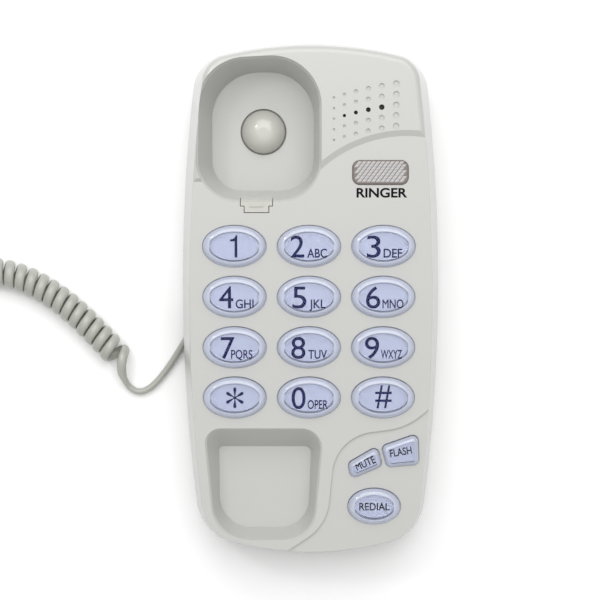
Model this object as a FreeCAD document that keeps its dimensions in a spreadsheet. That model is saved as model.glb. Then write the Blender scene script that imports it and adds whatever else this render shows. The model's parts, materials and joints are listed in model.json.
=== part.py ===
"""Base of a corded push-button telephone with its curly handset cord.

Millimetres. +X is the right side, +Y the rear, +Z up. The origin is the middle of the
base's footprint on the table. The key field is a plane that rises towards the rear:
pieces that belong to it are drawn in the face frame, whose z is 0 on that plane.
"""
import FreeCAD, Part
import math
import os
import Sketcher
from FreeCAD import Placement, Rotation, Vector

# Driving dimensions

SIZES = [
    ("half_width", 52.7, "outline at the seam between the two housings"),
    ("half_length", 105.0, "outline at the seam"),
    ("side_radius", 720.0, "bow of the long sides"),
    ("side_station", 7.5, "widest place, towards the rear"),
    ("rear_radius", 153.0, "bow of the rear end"),
    ("front_radius", 125.0, "bow of the front end"),
    ("rear_corner", 16.0, "plan radius of the rear corners"),
    ("front_corner", 20.0, "plan radius of the front corners"),
    ("foot_height", 2.0, "rubber foot below the bottom housing"),
    ("seam_height", 16.0, "seam above the table"),
    ("face_height", 41.0, "key field above the table at the origin"),
    ("face_slope", 5.0, "degrees, rising to the rear"),
    ("wall", 2.2, "side walls, well walls and floors"),
    ("plate", 2.2, "face plate under the key field"),
    ("wall_draft", 9.6, "degrees, lean of the walls above the seam"),
    ("bottom_draft", 1.5, "lean of the bottom housing"),
    ("edge_round", 2.6, "rounding of the upper edge"),
    ("plateau", 1.2, "sounder field above the key field"),
    ("plateau_x", 38.0, "centre of the plateau's curved edge"),
    ("plateau_y", 13.8, "centre of the plateau's curved edge"),
    ("plateau_radius", 50.5, "curved edge of the plateau"),
    ("plateau_turn", 140.0, "degrees, where the curved edge ends in the upper well"),
    ("rim_bevel", 0.8, "eased rim of a well"),
    ("riser_run", 2.4, "soft slope up to the plateau"),
    ("panel_step", 1.0, "function panel below the key field"),
    ("panel_bend_outer", 25.0, "first bend of the function panel's edge"),
    ("panel_bend_inner", 18.0, "second bend"),
    ("panel_bend_front", 20.0, "third bend"),
    ("ear_depth", 22.0, "upper well below the key field"),
    ("mouth_depth", 12.0, "lower well below the key field"),
    ("key_width", 25.0, "digit key across"),
    ("key_length", 16.4, "digit key front to rear"),
    ("key_rise", 3.0, "crown of a key above its panel"),
    ("key_round", 2.2, "rounding of a key's crown"),
    ("key_clearance", 0.35, "gap round a key in its hole"),
    ("key_flange", 0.9, "flange beyond the hole"),
    ("flange_thickness", 1.2, "key flange"),
    ("key_pitch_x", 29.6, "between columns"),
    ("key_pitch_y", 20.2, "between rows"),
    ("keypad_x", -0.8, "middle column"),
    ("keypad_y", -9.6, "middle of the four rows"),
    ("backing_margin", 2.6, "clear wall of a key round its legend pad"),
    ("backing_rise", 0.5, "top of the legend pad above the panel"),
    ("fit_gap", 0.1, "gap between pressed-in pieces"),
    ("redial_x", 25.5, "round function key"),
    ("redial_y", -84.2, "round function key"),
    ("redial_width", 21.0, "round function key"),
    ("redial_length", 14.5, "round function key"),
    ("function_corner", 2.2, "corners of the two slanted keys"),
    ("function_flange", 0.3, "flange of a function key beyond its hole"),
    ("function_wall", 1.5, "clear wall of a slanted key round its legend pad"),
    ("hook_x", -19.2, "hook button"),
    ("hook_y", 66.1, "hook button"),
    ("hook_radius", 9.0, "hook button"),
    ("hook_clearance", 0.4, "gap round the hook button"),
    ("hook_rise", 6.0, "crown of the hook button above the well's floor"),
    ("hook_round", 7.5, "rounding of the hook button"),
    ("hook_flange_radius", 11.2, "stop flange under the well's floor"),
    ("hook_flange_thickness", 1.5, "stop flange"),
    ("hook_stem_radius", 3.4, "stem inside the spring"),
    ("hook_stem", 2.1, "stem below the flange"),
    ("spring_radius", 5.4, "hook spring, middle of the wire"),
    ("spring_wire", 0.9, "hook spring wire"),
    ("spring_turns", 4.0, "hook spring"),
    ("hook_board_drop", 36.0, "hook board's top below the key field"),
    ("hook_board_width", 40.0, "hook board across"),
    ("hook_board_length", 18.0, "hook board front to rear"),
    ("board_thickness", 1.6, "circuit boards"),
    ("switch_side", 6.0, "push switch on the hook board"),
    ("switch_height", 3.0, "push switch on the hook board"),
    ("hook_screw_span", 32.0, "between the hook board's screws"),
    ("tab_x", -21.6, "handset tab"),
    ("tab_width", 9.5, "handset tab"),
    ("tab_front", 34.2, "front end of the handset tab"),
    ("tab_rail", 1.5, "rail of the tab on each side"),
    ("tab_rail_start", 36.8, "front end of the tab's rails"),
    ("tab_depth", 7.0, "tab below the key field"),
    ("tab_clearance", 0.3, "gap round the tab"),
    ("tab_rear", 44.5, "where the tab's blank is cut off by the well"),
    ("tab_bar_width", 5.2, "grip bar on the tab"),
    ("tab_bar_length", 0.9, "grip bar on the tab"),
    ("tab_bar_rise", 0.5, "grip bar on the tab"),
    ("tab_bar_y", 36.9, "grip bar on the tab"),
    ("lens_x", 27.5, "ringer lens"),
    ("lens_y", 49.9, "ringer lens"),
    ("lens_width", 22.3, "ringer lens"),
    ("lens_length", 9.7, "ringer lens"),
    ("lens_corner", 3.0, "ringer lens"),
    ("lens_rise", 0.7, "ringer lens above the key field"),
    ("lens_bevel", 0.6, "bevel of the lens"),
    ("lens_flange", 1.2, "lens flange under the plate"),
    ("lamp_radius", 3.0, "ringer lamp"),
    ("hole_x", 9.06, "first column of the sounder field"),
    ("hole_y", 71.0, "middle row at the first column"),
    ("hole_pitch_x", 3.9, "first step between columns"),
    ("hole_pitch_grow", 0.2, "growth of the steps"),
    ("hole_pitch_y", 4.15, "between rows"),
    ("hole_lift", 1.35, "rise of the rows from column to column"),
    ("hole_bow", 0.05, "bow of the rows"),
    ("hole_width", 1.0, "smallest dimple across"),
    ("hole_grow", 0.3, "growth of the dimples"),
    ("dimple_depth", 0.7, "dimples"),
    ("sounder_x", 22.4, "ringer sounder"),
    ("sounder_setback", 30.3, "ringer sounder inside the rear end"),
    ("sounder_radius", 13.2, "ringer sounder"),
    ("sounder_height", 5.0, "ringer sounder"),
    ("sounder_rib", 1.4, "ring rib that holds the sounder"),
    ("mat_thickness", 1.0, "web of the key mat"),
    ("dome_radius", 4.4, "domes of the key mat"),
    ("dome_taper", 15.0, "degrees, domes of the key mat"),
    ("dome_height", 2.6, "digit domes above the web"),
    ("board_side_gap", 7.7, "key board inside the base's side"),
    ("board_rear", 31.0, "key board, rear edge"),
    ("board_front", -49.0, "key board, front edge of the main part"),
    ("board_leg_left", 13.0, "leg under the function keys"),
    ("board_leg_gap", 10.7, "leg under the function keys inside the base's side"),
    ("board_leg_front", -91.0, "leg under the function keys"),
    ("board_leg_chamfer", 5.0, "corner of the leg"),
    ("board_arm_left", 9.0, "arm under the ringer lens"),
    ("board_arm_rear", 57.0, "arm under the ringer lens"),
    ("mat_margin", 1.5, "mat inside the board's edge"),
    ("board_screw_left", -15.6, "between the key columns"),
    ("board_screw_right", 14.0, "between the key columns"),
    ("board_screw_rear", 10.6, "between the key rows"),
    ("board_screw_front", -29.8, "between the key rows"),
    ("boss_radius", 3.0, "small bosses"),
    ("pilot_radius", 1.1, "screw core in a boss"),
    ("screw_head", 2.6, "screw head radius"),
    ("screw_head_height", 1.8, "screw head"),
    ("screw_length", 7.0, "screw shank"),
    ("post_radius", 4.2, "housing posts"),
    ("post_hole", 1.7, "clearance hole in a post"),
    ("post_counterbore", 3.2, "screw head recess in a post"),
    ("housing_screw_length", 15.0, "housing screw shank"),
    ("post_rear_left_x", -34.0, "housing post"),
    ("post_rear_left_setback", 19.0, "housing post inside the nearer end"),
    ("post_rear_right_x", 38.0, "housing post"),
    ("post_rear_right_setback", 18.0, "housing post inside the nearer end"),
    ("post_front_left_x", -30.0, "housing post"),
    ("post_front_left_setback", 17.0, "housing post inside the nearer end"),
    ("post_front_right_x", 7.0, "housing post"),
    ("post_front_right_setback", 15.0, "housing post inside the nearer end"),
    ("foot_radius", 6.5, "rubber feet"),
    ("foot_seat", 1.0, "recess of a rubber foot"),
    ("foot_x", 36.0, "rubber feet from the middle"),
    ("foot_y", 72.0, "rubber feet from the middle"),
    ("keyhole_span", 100.0, "between the two wall studs"),
    ("keyhole_entry", 4.5, "keyhole entry radius"),
    ("keyhole_slot", 2.2, "keyhole slot half width"),
    ("keyhole_run", 9.0, "keyhole slot length"),
    ("ballast_width", 60.0, "steel plate"),
    ("ballast_length", 34.0, "steel plate"),
    ("ballast_thickness", 3.0, "steel plate"),
    ("ballast_y", 20.0, "steel plate, middle"),
    ("ballast_lift", 3.0, "pegs under the steel plate"),
    ("ballast_screw_x", 24.0, "steel plate screws from the middle"),
    ("ballast_screw_length", 5.0, "steel plate screw shank"),
    ("notch_depth", 12.5, "handset cord notch in the left side"),
    ("notch_rear", -4.0, "handset cord notch"),
    ("notch_front", -26.0, "handset cord notch"),
    ("notch_top", 14.0, "handset cord notch above the table"),
    ("jack_y", -12.5, "handset jack"),
    ("jack_z", 8.6, "handset jack, middle of its plug"),
    ("jack_width", 13.0, "handset jack"),
    ("jack_height", 11.0, "handset jack"),
    ("jack_length", 15.0, "handset jack"),
    ("plug_width", 7.6, "modular plug"),
    ("plug_height", 6.0, "modular plug"),
    ("plug_length", 12.0, "modular plug"),
    ("plug_seat", 7.5, "plug inside the jack"),
    ("plug_clearance", 0.15, "plug in the jack"),
    ("line_width", 14.0, "line jack body"),
    ("line_height", 11.0, "line jack body"),
    ("line_length", 16.0, "line jack body"),
    ("line_socket_width", 10.0, "line jack socket"),
    ("line_socket_height", 7.0, "line jack socket"),
    ("line_socket_depth", 12.0, "line jack socket"),
    ("line_z", 9.8, "middle of the line jack"),
    ("slider_x", 26.0, "slide switches from the middle"),
    ("slider_width", 14.0, "slide switch body"),
    ("slider_height", 6.0, "slide switch body"),
    ("slider_length", 6.0, "slide switch body"),
    ("slider_setback", 7.6, "slide switch body inside the rear end"),
    ("slider_z", 10.0, "middle of the slide switches"),
    ("knob_width", 4.0, "slide switch knob"),
    ("knob_height", 3.0, "slide switch knob"),
    ("knob_travel", 2.0, "slide of a knob to each side"),
    ("knob_setback", 2.3, "knob inside the rear end"),
    ("knob_clearance", 0.4, "knob in its slot"),
    ("cord_width", 3.4, "handset cord"),
    ("coil_open_turn", 1.6, "first turn, in pitches"),
    ("coil_start_angle", 20.0, "first turn, degrees from its left"),
    ("coil_start", 3.0, "first turn, along the axis"),
    ("coil_width", 12.6, "curly stretch across"),
    ("coil_pitch", 4.75, "between curls"),
    ("coil_turns", 40.0, "curls"),
    ("corner_mute_ax", 15.0, "slanted key, left rear corner"),
    ("corner_mute_ay", -66.6, "slanted key, left rear corner"),
    ("corner_mute_bx", 26.7, "slanted key, right rear corner"),
    ("corner_mute_by", -59.7, "slanted key, right rear corner"),
    ("corner_mute_cx", 28.75, "slanted key, right front corner"),
    ("corner_mute_cy", -67.6, "slanted key, right front corner"),
    ("corner_mute_dx", 16.2, "slanted key, left front corner"),
    ("corner_mute_dy", -73.0, "slanted key, left front corner"),
    ("corner_flash_ax", 28.3, "right slanted key, left rear corner"),
    ("corner_flash_ay", -59.8, "right slanted key, left rear corner"),
    ("corner_flash_bx", 43.0, "right slanted key, right rear corner"),
    ("corner_flash_by", -54.6, "right slanted key, right rear corner"),
    ("corner_flash_cx", 43.4, "right slanted key, right front corner"),
    ("corner_flash_cy", -67.1, "right slanted key, right front corner"),
    ("corner_flash_dx", 30.7, "right slanted key, left front corner"),
    ("corner_flash_dy", -68.2, "right slanted key, left front corner"),
]

doc = FreeCAD.newDocument("push_button_telephone")
sheet = doc.addObject("Spreadsheet::Sheet", "Sizes")
for row, (alias, number, note) in enumerate(SIZES, start=1):
    sheet.set("A%d" % row, alias)
    sheet.set("B%d" % row, repr(number))
    sheet.setAlias("B%d" % row, alias)
    sheet.set("C%d" % row, note)
doc.recompute()


class Size:
    """A length with the expression that gives it, so that a drawing follows the sheet."""

    def __init__(self, value, text):
        self.value = value
        self.text = text

    def joined(self, other, sign, value):
        return Size(value, "(%s %s %s)" % (self.text, sign, as_size(other).text))

    def __add__(self, other):
        return self.joined(other, "+", self.value + as_size(other).value)

    def __sub__(self, other):
        return self.joined(other, "-", self.value - as_size(other).value)

    def __mul__(self, other):
        return self.joined(other, "*", self.value * as_size(other).value)

    def __truediv__(self, other):
        return self.joined(other, "/", self.value / as_size(other).value)

    def __radd__(self, other):
        return as_size(other) + self

    def __rsub__(self, other):
        return as_size(other) - self

    def __neg__(self):
        return Size(-self.value, "(0 - %s)" % self.text)


def as_size(number):
    if isinstance(number, Size):
        return number
    return Size(float(number), "(%.6f)" % number)


class Named:
    """Every size of the sheet by its name."""


size = Named()
for alias, number, note in SIZES:
    setattr(size, alias, Size(float(sheet.get(alias)), "Sizes.%s" % alias))

slope_sin = Size(math.sin(math.radians(size.face_slope.value)), "sin(Sizes.face_slope * 1deg)")
slope_cos = Size(math.cos(math.radians(size.face_slope.value)), "cos(Sizes.face_slope * 1deg)")
tiny = 0.01
over = 4.0
beyond = 70.0

parts = {}


# Drawing helpers

def bind(thing, path, wanted):
    thing.setExpression(path, as_size(wanted).text)


def new_body(label, in_face_frame=False):
    body = doc.addObject("PartDesign::Body", label)
    if in_face_frame:
        body.Placement = Placement(Vector(0, 0, 0), Rotation(Vector(1, 0, 0), size.face_slope.value))
        bind(body, "Placement.Base.z", size.face_height)
        bind(body, "Placement.Rotation.Angle", size.face_slope)
    return body


def new_sketch(body, name, height, plane="XY_Plane"):
    sketch = body.newObject("Sketcher::SketchObject", name)
    origin_plane = [feature for feature in body.Origin.OriginFeatures if feature.Role == plane][0]
    sketch.AttachmentSupport = [(origin_plane, "")]
    sketch.MapMode = "FlatFace"
    bind(sketch, "AttachmentOffset.Base.z", height)
    return sketch


def tilt_to_face(sketch, height):
    """Lays a drawing of an upright body on the face frame, at a height above the key field."""
    sketch.AttachmentOffset = Placement(Vector(0, 0, 0), Rotation(Vector(1, 0, 0), size.face_slope.value))
    bind(sketch, "AttachmentOffset.Base.y", -(as_size(height) * slope_sin))
    bind(sketch, "AttachmentOffset.Base.z", size.face_height + as_size(height) * slope_cos)
    bind(sketch, "AttachmentOffset.Rotation.Angle", size.face_slope)


def constrain(sketch, kind, *spec):
    number = as_size(spec[-1])
    index = sketch.addConstraint(Sketcher.Constraint(kind, *spec[:-1], number.value))
    bind(sketch, "Constraints[%d]" % index, number)


def place_point(sketch, geometry, point, x, y):
    constrain(sketch, "DistanceX", -1, 1, geometry, point, x)
    constrain(sketch, "DistanceY", -1, 1, geometry, point, y)


def draw_circle(sketch, x, y, radius):
    x, y, radius = as_size(x), as_size(y), as_size(radius)
    circle = Part.Circle(Vector(x.value, y.value, 0), Vector(0, 0, 1), radius.value)
    index = sketch.addGeometry(circle, False)
    place_point(sketch, index, 3, x, y)
    constrain(sketch, "Radius", index, radius)


def draw_ellipse(sketch, x, y, width, length):
    x, y, width, length = as_size(x), as_size(y), as_size(width), as_size(length)
    ellipse = Part.Ellipse(Vector(x.value, y.value, 0), width.value / 2, length.value / 2)
    index = sketch.addGeometry(ellipse, False)
    sketch.exposeInternalGeometry(index)
    place_point(sketch, index, 3, x, y)
    sketch.addConstraint(Sketcher.Constraint("Horizontal", index + 1))
    constrain(sketch, "Distance", index + 1, width)
    constrain(sketch, "Distance", index + 2, length)


def draw_polygon(sketch, corners, radii):
    """Closed outline through corners, each rounded by its radius or left sharp at None."""
    count = len(corners)
    spots = [Vector(as_size(x).value, as_size(y).value, 0) for x, y in corners]
    starts = []
    ends = []
    for i in range(count):
        ahead = (spots[(i + 1) % count] - spots[i]).normalize()
        behind = (spots[i - 1] - spots[i]).normalize()
        reach = 0.0
        if radii[i] is not None:
            half = math.acos(max(-1.0, min(1.0, ahead.dot(behind)))) / 2
            reach = as_size(radii[i]).value / math.tan(half)
        starts.append(spots[i] + ahead * reach)
        ends.append(spots[i] + behind * reach)
    lines = []
    for i in range(count):
        lines.append(sketch.addGeometry(Part.LineSegment(starts[i], ends[(i + 1) % count]), False))
    for i in range(count):
        x, y = corners[i]
        before = lines[i - 1]
        after = lines[i]
        if radii[i] is None:
            sketch.addConstraint(Sketcher.Constraint("Coincident", before, 2, after, 1))
            place_point(sketch, after, 1, x, y)
            continue
        corner = sketch.addGeometry(Part.Point(spots[i]), True)
        place_point(sketch, corner, 1, x, y)
        sketch.addConstraint(Sketcher.Constraint("PointOnObject", corner, 1, before))
        sketch.addConstraint(Sketcher.Constraint("PointOnObject", corner, 1, after))
        ahead = (starts[i] - spots[i]).normalize()
        behind = (ends[i] - spots[i]).normalize()
        middle = (ahead + behind).normalize()
        half = math.acos(max(-1.0, min(1.0, ahead.dot(behind)))) / 2
        radius = as_size(radii[i]).value
        centre = spots[i] + middle * (radius / math.sin(half))
        first = math.atan2(ends[i].y - centre.y, ends[i].x - centre.x)
        last = math.atan2(starts[i].y - centre.y, starts[i].x - centre.x)
        left_turn = (spots[i] - ends[i]).cross(starts[i] - spots[i]).z > 0
        circle = Part.Circle(centre, Vector(0, 0, 1), radius)
        if left_turn:
            arc = sketch.addGeometry(Part.ArcOfCircle(circle, first, last), False)
            sketch.addConstraint(Sketcher.Constraint("Tangent", before, 2, arc, 1))
            sketch.addConstraint(Sketcher.Constraint("Tangent", arc, 2, after, 1))
        else:
            arc = sketch.addGeometry(Part.ArcOfCircle(circle, last, first), False)
            sketch.addConstraint(Sketcher.Constraint("Tangent", before, 2, arc, 2))
            sketch.addConstraint(Sketcher.Constraint("Tangent", arc, 1, after, 1))
        constrain(sketch, "Radius", arc, radii[i])


def draw_box(sketch, left, front, right, rear, radius=None):
    draw_polygon(sketch, [(left, front), (right, front), (right, rear), (left, rear)], [radius] * 4)


def grown(corners, margin):
    """Corners of an outline (counter-clockwise) moved outwards by a margin on every side."""
    spots = [Vector(as_size(x).value, as_size(y).value, 0) for x, y in corners]
    count = len(spots)
    moved = []
    for i in range(count):
        before = (spots[i] - spots[i - 1]).normalize()
        after = (spots[(i + 1) % count] - spots[i]).normalize()
        out_before = Vector(before.y, -before.x, 0)
        out_after = Vector(after.y, -after.x, 0)
        mitre = (out_before + out_after) * (1 / (1 + out_before.dot(out_after)))
        x, y = corners[i]
        moved.append((as_size(x) + as_size(margin) * mitre.x, as_size(y) + as_size(margin) * mitre.y))
    return moved


def draw_outline(sketch, inset):
    """Eight tangent arcs: bowed sides and ends with round corners."""
    inset = as_size(inset)
    half = size.half_width - inset
    rear_edge = size.half_length - inset
    front_edge = inset - size.half_length
    side = size.side_radius - inset
    back = size.rear_radius - inset
    nose = size.front_radius - inset
    rear_round = size.rear_corner - inset
    front_round = size.front_corner - inset
    bows = [
        (half - side, size.side_station, side),
        (as_size(0), rear_edge - back, back),
        (side - half, size.side_station, side),
        (as_size(0), front_edge + nose, nose),
    ]
    rounds = [rear_round, rear_round, front_round, front_round]
    quadrant = [(1, 1), (-1, 1), (-1, -1), (1, -1)]
    corners = []
    for i in range(4):
        first = bows[i]
        second = bows[(i + 1) % 4]
        radius = rounds[i].value
        centre_one = Vector(first[0].value, first[1].value, 0)
        centre_two = Vector(second[0].value, second[1].value, 0)
        gap = centre_two - centre_one
        reach_one = first[2].value - radius
        reach_two = second[2].value - radius
        along = (reach_one ** 2 - reach_two ** 2 + gap.Length ** 2) / (2 * gap.Length)
        across = math.sqrt(max(reach_one ** 2 - along ** 2, tiny))
        unit = Vector(gap).normalize()
        side_way = Vector(-unit.y, unit.x, 0)
        options = [centre_one + unit * along + side_way * (across * sign) for sign in (1, -1)]
        options.sort(key=lambda spot: -(spot.x * quadrant[i][0] + spot.y * quadrant[i][1]))
        corners.append((options[0], radius))
    angles = []
    for i in range(4):
        centre = Vector(bows[i][0].value, bows[i][1].value, 0)
        enter = corners[i - 1][0] - centre
        leave = corners[i][0] - centre
        angles.append((math.atan2(enter.y, enter.x), math.atan2(leave.y, leave.x)))
    arcs = []
    for i in range(4):
        centre = Vector(bows[i][0].value, bows[i][1].value, 0)
        circle = Part.Circle(centre, Vector(0, 0, 1), bows[i][2].value)
        arcs.append(sketch.addGeometry(Part.ArcOfCircle(circle, angles[i][0], angles[i][1]), False))
        circle = Part.Circle(corners[i][0], Vector(0, 0, 1), corners[i][1])
        arcs.append(sketch.addGeometry(Part.ArcOfCircle(circle, angles[i][1], angles[(i + 1) % 4][0]), False))
    for i in range(8):
        sketch.addConstraint(Sketcher.Constraint("Tangent", arcs[i], 2, arcs[(i + 1) % 8], 1))
    for i in range(4):
        place_point(sketch, arcs[2 * i], 3, bows[i][0], bows[i][1])
        constrain(sketch, "Radius", arcs[2 * i], bows[i][2])
        constrain(sketch, "Radius", arcs[2 * i + 1], rounds[i])


def pad(body, sketch, length, name, taper=None):
    feature = body.newObject("PartDesign::Pad", name)
    feature.Profile = sketch
    bind(feature, "Length", length)
    if taper is not None:
        bind(feature, "TaperAngle", -as_size(taper))
    return feature


def pocket_up(body, sketch, length, name):
    """Cuts from the drawing upwards."""
    feature = body.newObject("PartDesign::Pocket", name)
    feature.Profile = sketch
    feature.Reversed = True
    bind(feature, "Length", length)
    return feature


def loft(body, lower, upper, name):
    feature = body.newObject("PartDesign::AdditiveLoft", name)
    feature.Profile = lower
    feature.Sections = [upper]
    feature.Ruled = True
    return feature


def round_edges(body, base, radius, wanted, name):
    """Rounds the edges of the last feature whose points all pass the test."""
    doc.recompute()
    names = []
    for index, edge in enumerate(base.Shape.Edges, start=1):
        points = [edge.valueAt(edge.FirstParameter + (edge.LastParameter - edge.FirstParameter) * step)
                  for step in (0.0, 0.5, 1.0)]
        if all(wanted(point) for point in points):
            names.append("Edge%d" % index)
    feature = body.newObject("PartDesign::Fillet", name)
    feature.Base = (base, names)
    bind(feature, "Radius", radius)
    return feature


def cut(name, base, tools):
    return combined("Part::Cut", name, base, tools)


def joined(name, pieces):
    feature = doc.addObject("Part::MultiFuse", name)
    feature.Shapes = pieces
    return feature


def combined(kind, name, base, tools):
    feature = doc.addObject(kind, name)
    feature.Base = base
    feature.Tool = tools[0] if len(tools) == 1 else joined(name + "_tools", tools)
    return feature


def cylinder(name, x, y, bottom, radius, height, in_face_frame=False):
    """Upright cylinder, or one square to the key field with its place in the face frame."""
    piece = doc.addObject("Part::Cylinder", name)
    bind(piece, "Radius", radius)
    bind(piece, "Height", height)
    set_place(piece, x, y, bottom, in_face_frame)
    return piece


def box(name, x, y, z, width, length, height, in_face_frame=False):
    """Box from its lowest left front corner."""
    piece = doc.addObject("Part::Box", name)
    bind(piece, "Length", width)
    bind(piece, "Width", length)
    bind(piece, "Height", height)
    set_place(piece, x, y, z, in_face_frame)
    return piece


def set_place(piece, x, y, z, in_face_frame):
    x, y, z = as_size(x), as_size(y), as_size(z)
    if in_face_frame:
        piece.Placement = Placement(Vector(0, 0, 0), Rotation(Vector(1, 0, 0), size.face_slope.value))
        bind(piece, "Placement.Rotation.Angle", size.face_slope)
        y, z = y * slope_cos - z * slope_sin, size.face_height + y * slope_sin + z * slope_cos
    bind(piece, "Placement.Base.x", x)
    bind(piece, "Placement.Base.y", y)
    bind(piece, "Placement.Base.z", z)


def keep(node, piece):
    piece.Label = node
    parts[node] = piece


# Shared places

under_plate = -size.plate
panel_top = -size.panel_step
under_panel = under_plate - size.panel_step
flange_low = under_plate - size.flange_thickness - size.fit_gap
web_top = flange_low - size.dome_height
web_low = web_top - size.mat_thickness
board_low = web_low - size.board_thickness
board_half_width = size.half_width - size.board_side_gap
board_leg_right = size.half_width - size.board_leg_gap
sounder_y = size.half_length - size.sounder_setback
ear_floor = -size.ear_depth
under_ear_floor = ear_floor - size.wall
inside_floor = size.foot_height + size.wall
housing_screw_seat = size.foot_height + size.screw_head_height + size.fit_gap
columns = [size.keypad_x - size.key_pitch_x, size.keypad_x, size.keypad_x + size.key_pitch_x]
rows = [size.keypad_y + size.key_pitch_y * step for step in (1.5, 0.5, -0.5, -1.5)]
key_names = ["key_1", "key_2", "key_3", "key_4", "key_5", "key_6", "key_7", "key_8", "key_9",
             "key_star", "key_0", "key_hash"]
key_places = [(x, y) for y in rows for x in columns]


def corners_of(name):
    """Corners of a slanted key, counter-clockwise."""
    spots = [(getattr(size, "corner_%s_%sx" % (name, letter)), getattr(size, "corner_%s_%sy" % (name, letter)))
             for letter in "abcd"]
    return spots[::-1]


mute_corners = corners_of("mute")
flash_corners = corners_of("flash")

# Rims and floors of the two wells in the face frame, counter-clockwise from the left front
ear_rim = [(-45.1, 39.0), (3.4, 39.0), (3.4, 96.0), (-43.9, 93.6)]
ear_foot = [(-40.1, 42.3), (1.3, 42.3), (1.3, 90.2), (-40.1, 90.2)]
ear_rim_rounds = [16.0, 16.0, 19.0, 19.0]
ear_foot_rounds = [12.0, 13.0, 18.0, 19.0]
mouth_rim = [(-38.1, -98.0), (0.5, -98.0), (4.5, -53.2), (-42.3, -53.2)]
mouth_foot = [(-37.1, -95.3), (-1.1, -95.3), (0.2, -61.7), (-37.3, -61.7)]
mouth_rim_rounds = [15.0, 13.0, 7.5, 5.5]
mouth_foot_rounds = [13.0, 12.0, 2.5, 1.5]

# Edge of the function panel in the face frame, and the outside that closes it
panel_edge = [(64.0, -31.0), (38.1, -52.1), (10.0, -55.8), (6.4, -91.8), (-26.0, -113.4), (64.0, -125.0)]
panel_rounds = [None, size.panel_bend_outer, size.panel_bend_inner, size.panel_bend_front, None, None]


# Housing blocks

def housing_block(name, top, inset):
    """Leaning block on the seam, cut off at a level of the tilted face."""
    body = new_body(name)
    plan = new_sketch(body, name + "_seam", size.seam_height)
    draw_outline(plan, inset)
    pad(body, plan, beyond, name + "_walls", size.wall_draft)
    level = new_sketch(body, name + "_face", 0)
    tilt_to_face(level, top)
    draw_box(level, -2 * beyond, -3 * beyond, 2 * beyond, 3 * beyond)
    return body, pocket_up(body, level, 2 * beyond, name + "_trim")


def well(name, rim, rim_rounds, foot, foot_rounds, depth, margin):
    """Leaning well of a cradle, as the solid that it takes out of the housing."""
    margin = as_size(margin)
    body = new_body(name, True)
    upper = new_sketch(body, name + "_rim", -size.rim_bevel)
    draw_polygon(upper, grown(rim, margin), [margin + number for number in rim_rounds])
    brow = new_sketch(body, name + "_brow", 0)
    draw_polygon(brow, grown(rim, margin + size.rim_bevel), [margin + size.rim_bevel + number for number in rim_rounds])
    lower = new_sketch(body, name + "_floor", -(as_size(depth) + margin))
    draw_polygon(lower, grown(foot, margin), [margin + number for number in foot_rounds])
    loft(body, upper, lower, name + "_loft")
    loft(body, upper, brow, name + "_bevel")
    pad(body, brow, over, name + "_mouth")
    return body


def on_face(height):
    """Test for points of an upright body that lie at a height of the face frame."""
    def test(point):
        rise = (point.z - size.face_height.value) * slope_cos.value - point.y * slope_sin.value
        return abs(rise - as_size(height).value) < tiny
    return test


block_body, block_trim = housing_block("top_block", size.plateau, as_size(0))
round_edges(block_body, block_trim, size.edge_round, on_face(size.plateau), "upper_edge_round")
core_body = housing_block("top_core", under_plate, size.wall)[0]

ear_well = well("ear_well", ear_rim, ear_rim_rounds, ear_foot, ear_foot_rounds, size.ear_depth, 0)
mouth_well = well("mouth_well", mouth_rim, mouth_rim_rounds, mouth_foot, mouth_foot_rounds,
                  size.mouth_depth, 0)
ear_sleeve = well("ear_sleeve", ear_rim, ear_rim_rounds, ear_foot, ear_foot_rounds,
                  size.ear_depth, size.wall)
mouth_sleeve = well("mouth_sleeve", mouth_rim, mouth_rim_rounds, mouth_foot, mouth_foot_rounds,
                    size.mouth_depth, size.wall)


def key_field():
    """Room over the key field: its rear edge is the soft riser of the sounder plateau."""
    body = new_body("key_field", True)
    levels = []
    turn = math.radians(size.plateau_turn.value)
    turned = Vector(math.cos(turn), math.sin(turn), 0)
    for name, height, run in (("field_low", as_size(0), as_size(0)),
                              ("field_high", size.plateau + over, size.riser_run * (1 + over / size.plateau.value))):
        sketch = new_sketch(body, name, height)
        radius = size.plateau_radius + run
        left = size.plateau_x + radius * turned.x
        front = size.plateau_y + radius * turned.y
        circle = Part.Circle(Vector(size.plateau_x.value, size.plateau_y.value, 0), Vector(0, 0, 1), radius.value)
        bow = sketch.addGeometry(Part.ArcOfCircle(circle, math.radians(50), turn), False)
        end = circle.value(math.radians(50))
        spots = [Vector(left.value, front.value, 0), Vector(-beyond, front.value, 0),
                 Vector(-beyond, -2 * beyond, 0), Vector(beyond, -2 * beyond, 0), end]
        lines = [sketch.addGeometry(Part.LineSegment(spots[i], spots[i + 1]), False) for i in range(4)]
        sketch.addConstraint(Sketcher.Constraint("Coincident", bow, 2, lines[0], 1))
        for i in range(3):
            sketch.addConstraint(Sketcher.Constraint("Coincident", lines[i], 2, lines[i + 1], 1))
        sketch.addConstraint(Sketcher.Constraint("Coincident", lines[3], 2, bow, 1))
        place_point(sketch, bow, 3, size.plateau_x, size.plateau_y)
        constrain(sketch, "Radius", bow, radius)
        sketch.addConstraint(Sketcher.Constraint("Horizontal", lines[0]))
        sketch.addConstraint(Sketcher.Constraint("Vertical", lines[1]))
        sketch.addConstraint(Sketcher.Constraint("Horizontal", lines[2]))
        sketch.addConstraint(Sketcher.Constraint("Vertical", lines[3]))
        constrain(sketch, "DistanceX", -1, 1, lines[1], 2, -beyond)
        constrain(sketch, "DistanceY", -1, 1, lines[1], 2, -2 * beyond)
        constrain(sketch, "DistanceX", -1, 1, lines[2], 2, beyond)
        constrain(sketch, "DistanceY", -1, 1, bow, 2, front)
        levels.append(sketch)
    loft(body, levels[0], levels[1], "field_loft")
    return body


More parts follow.
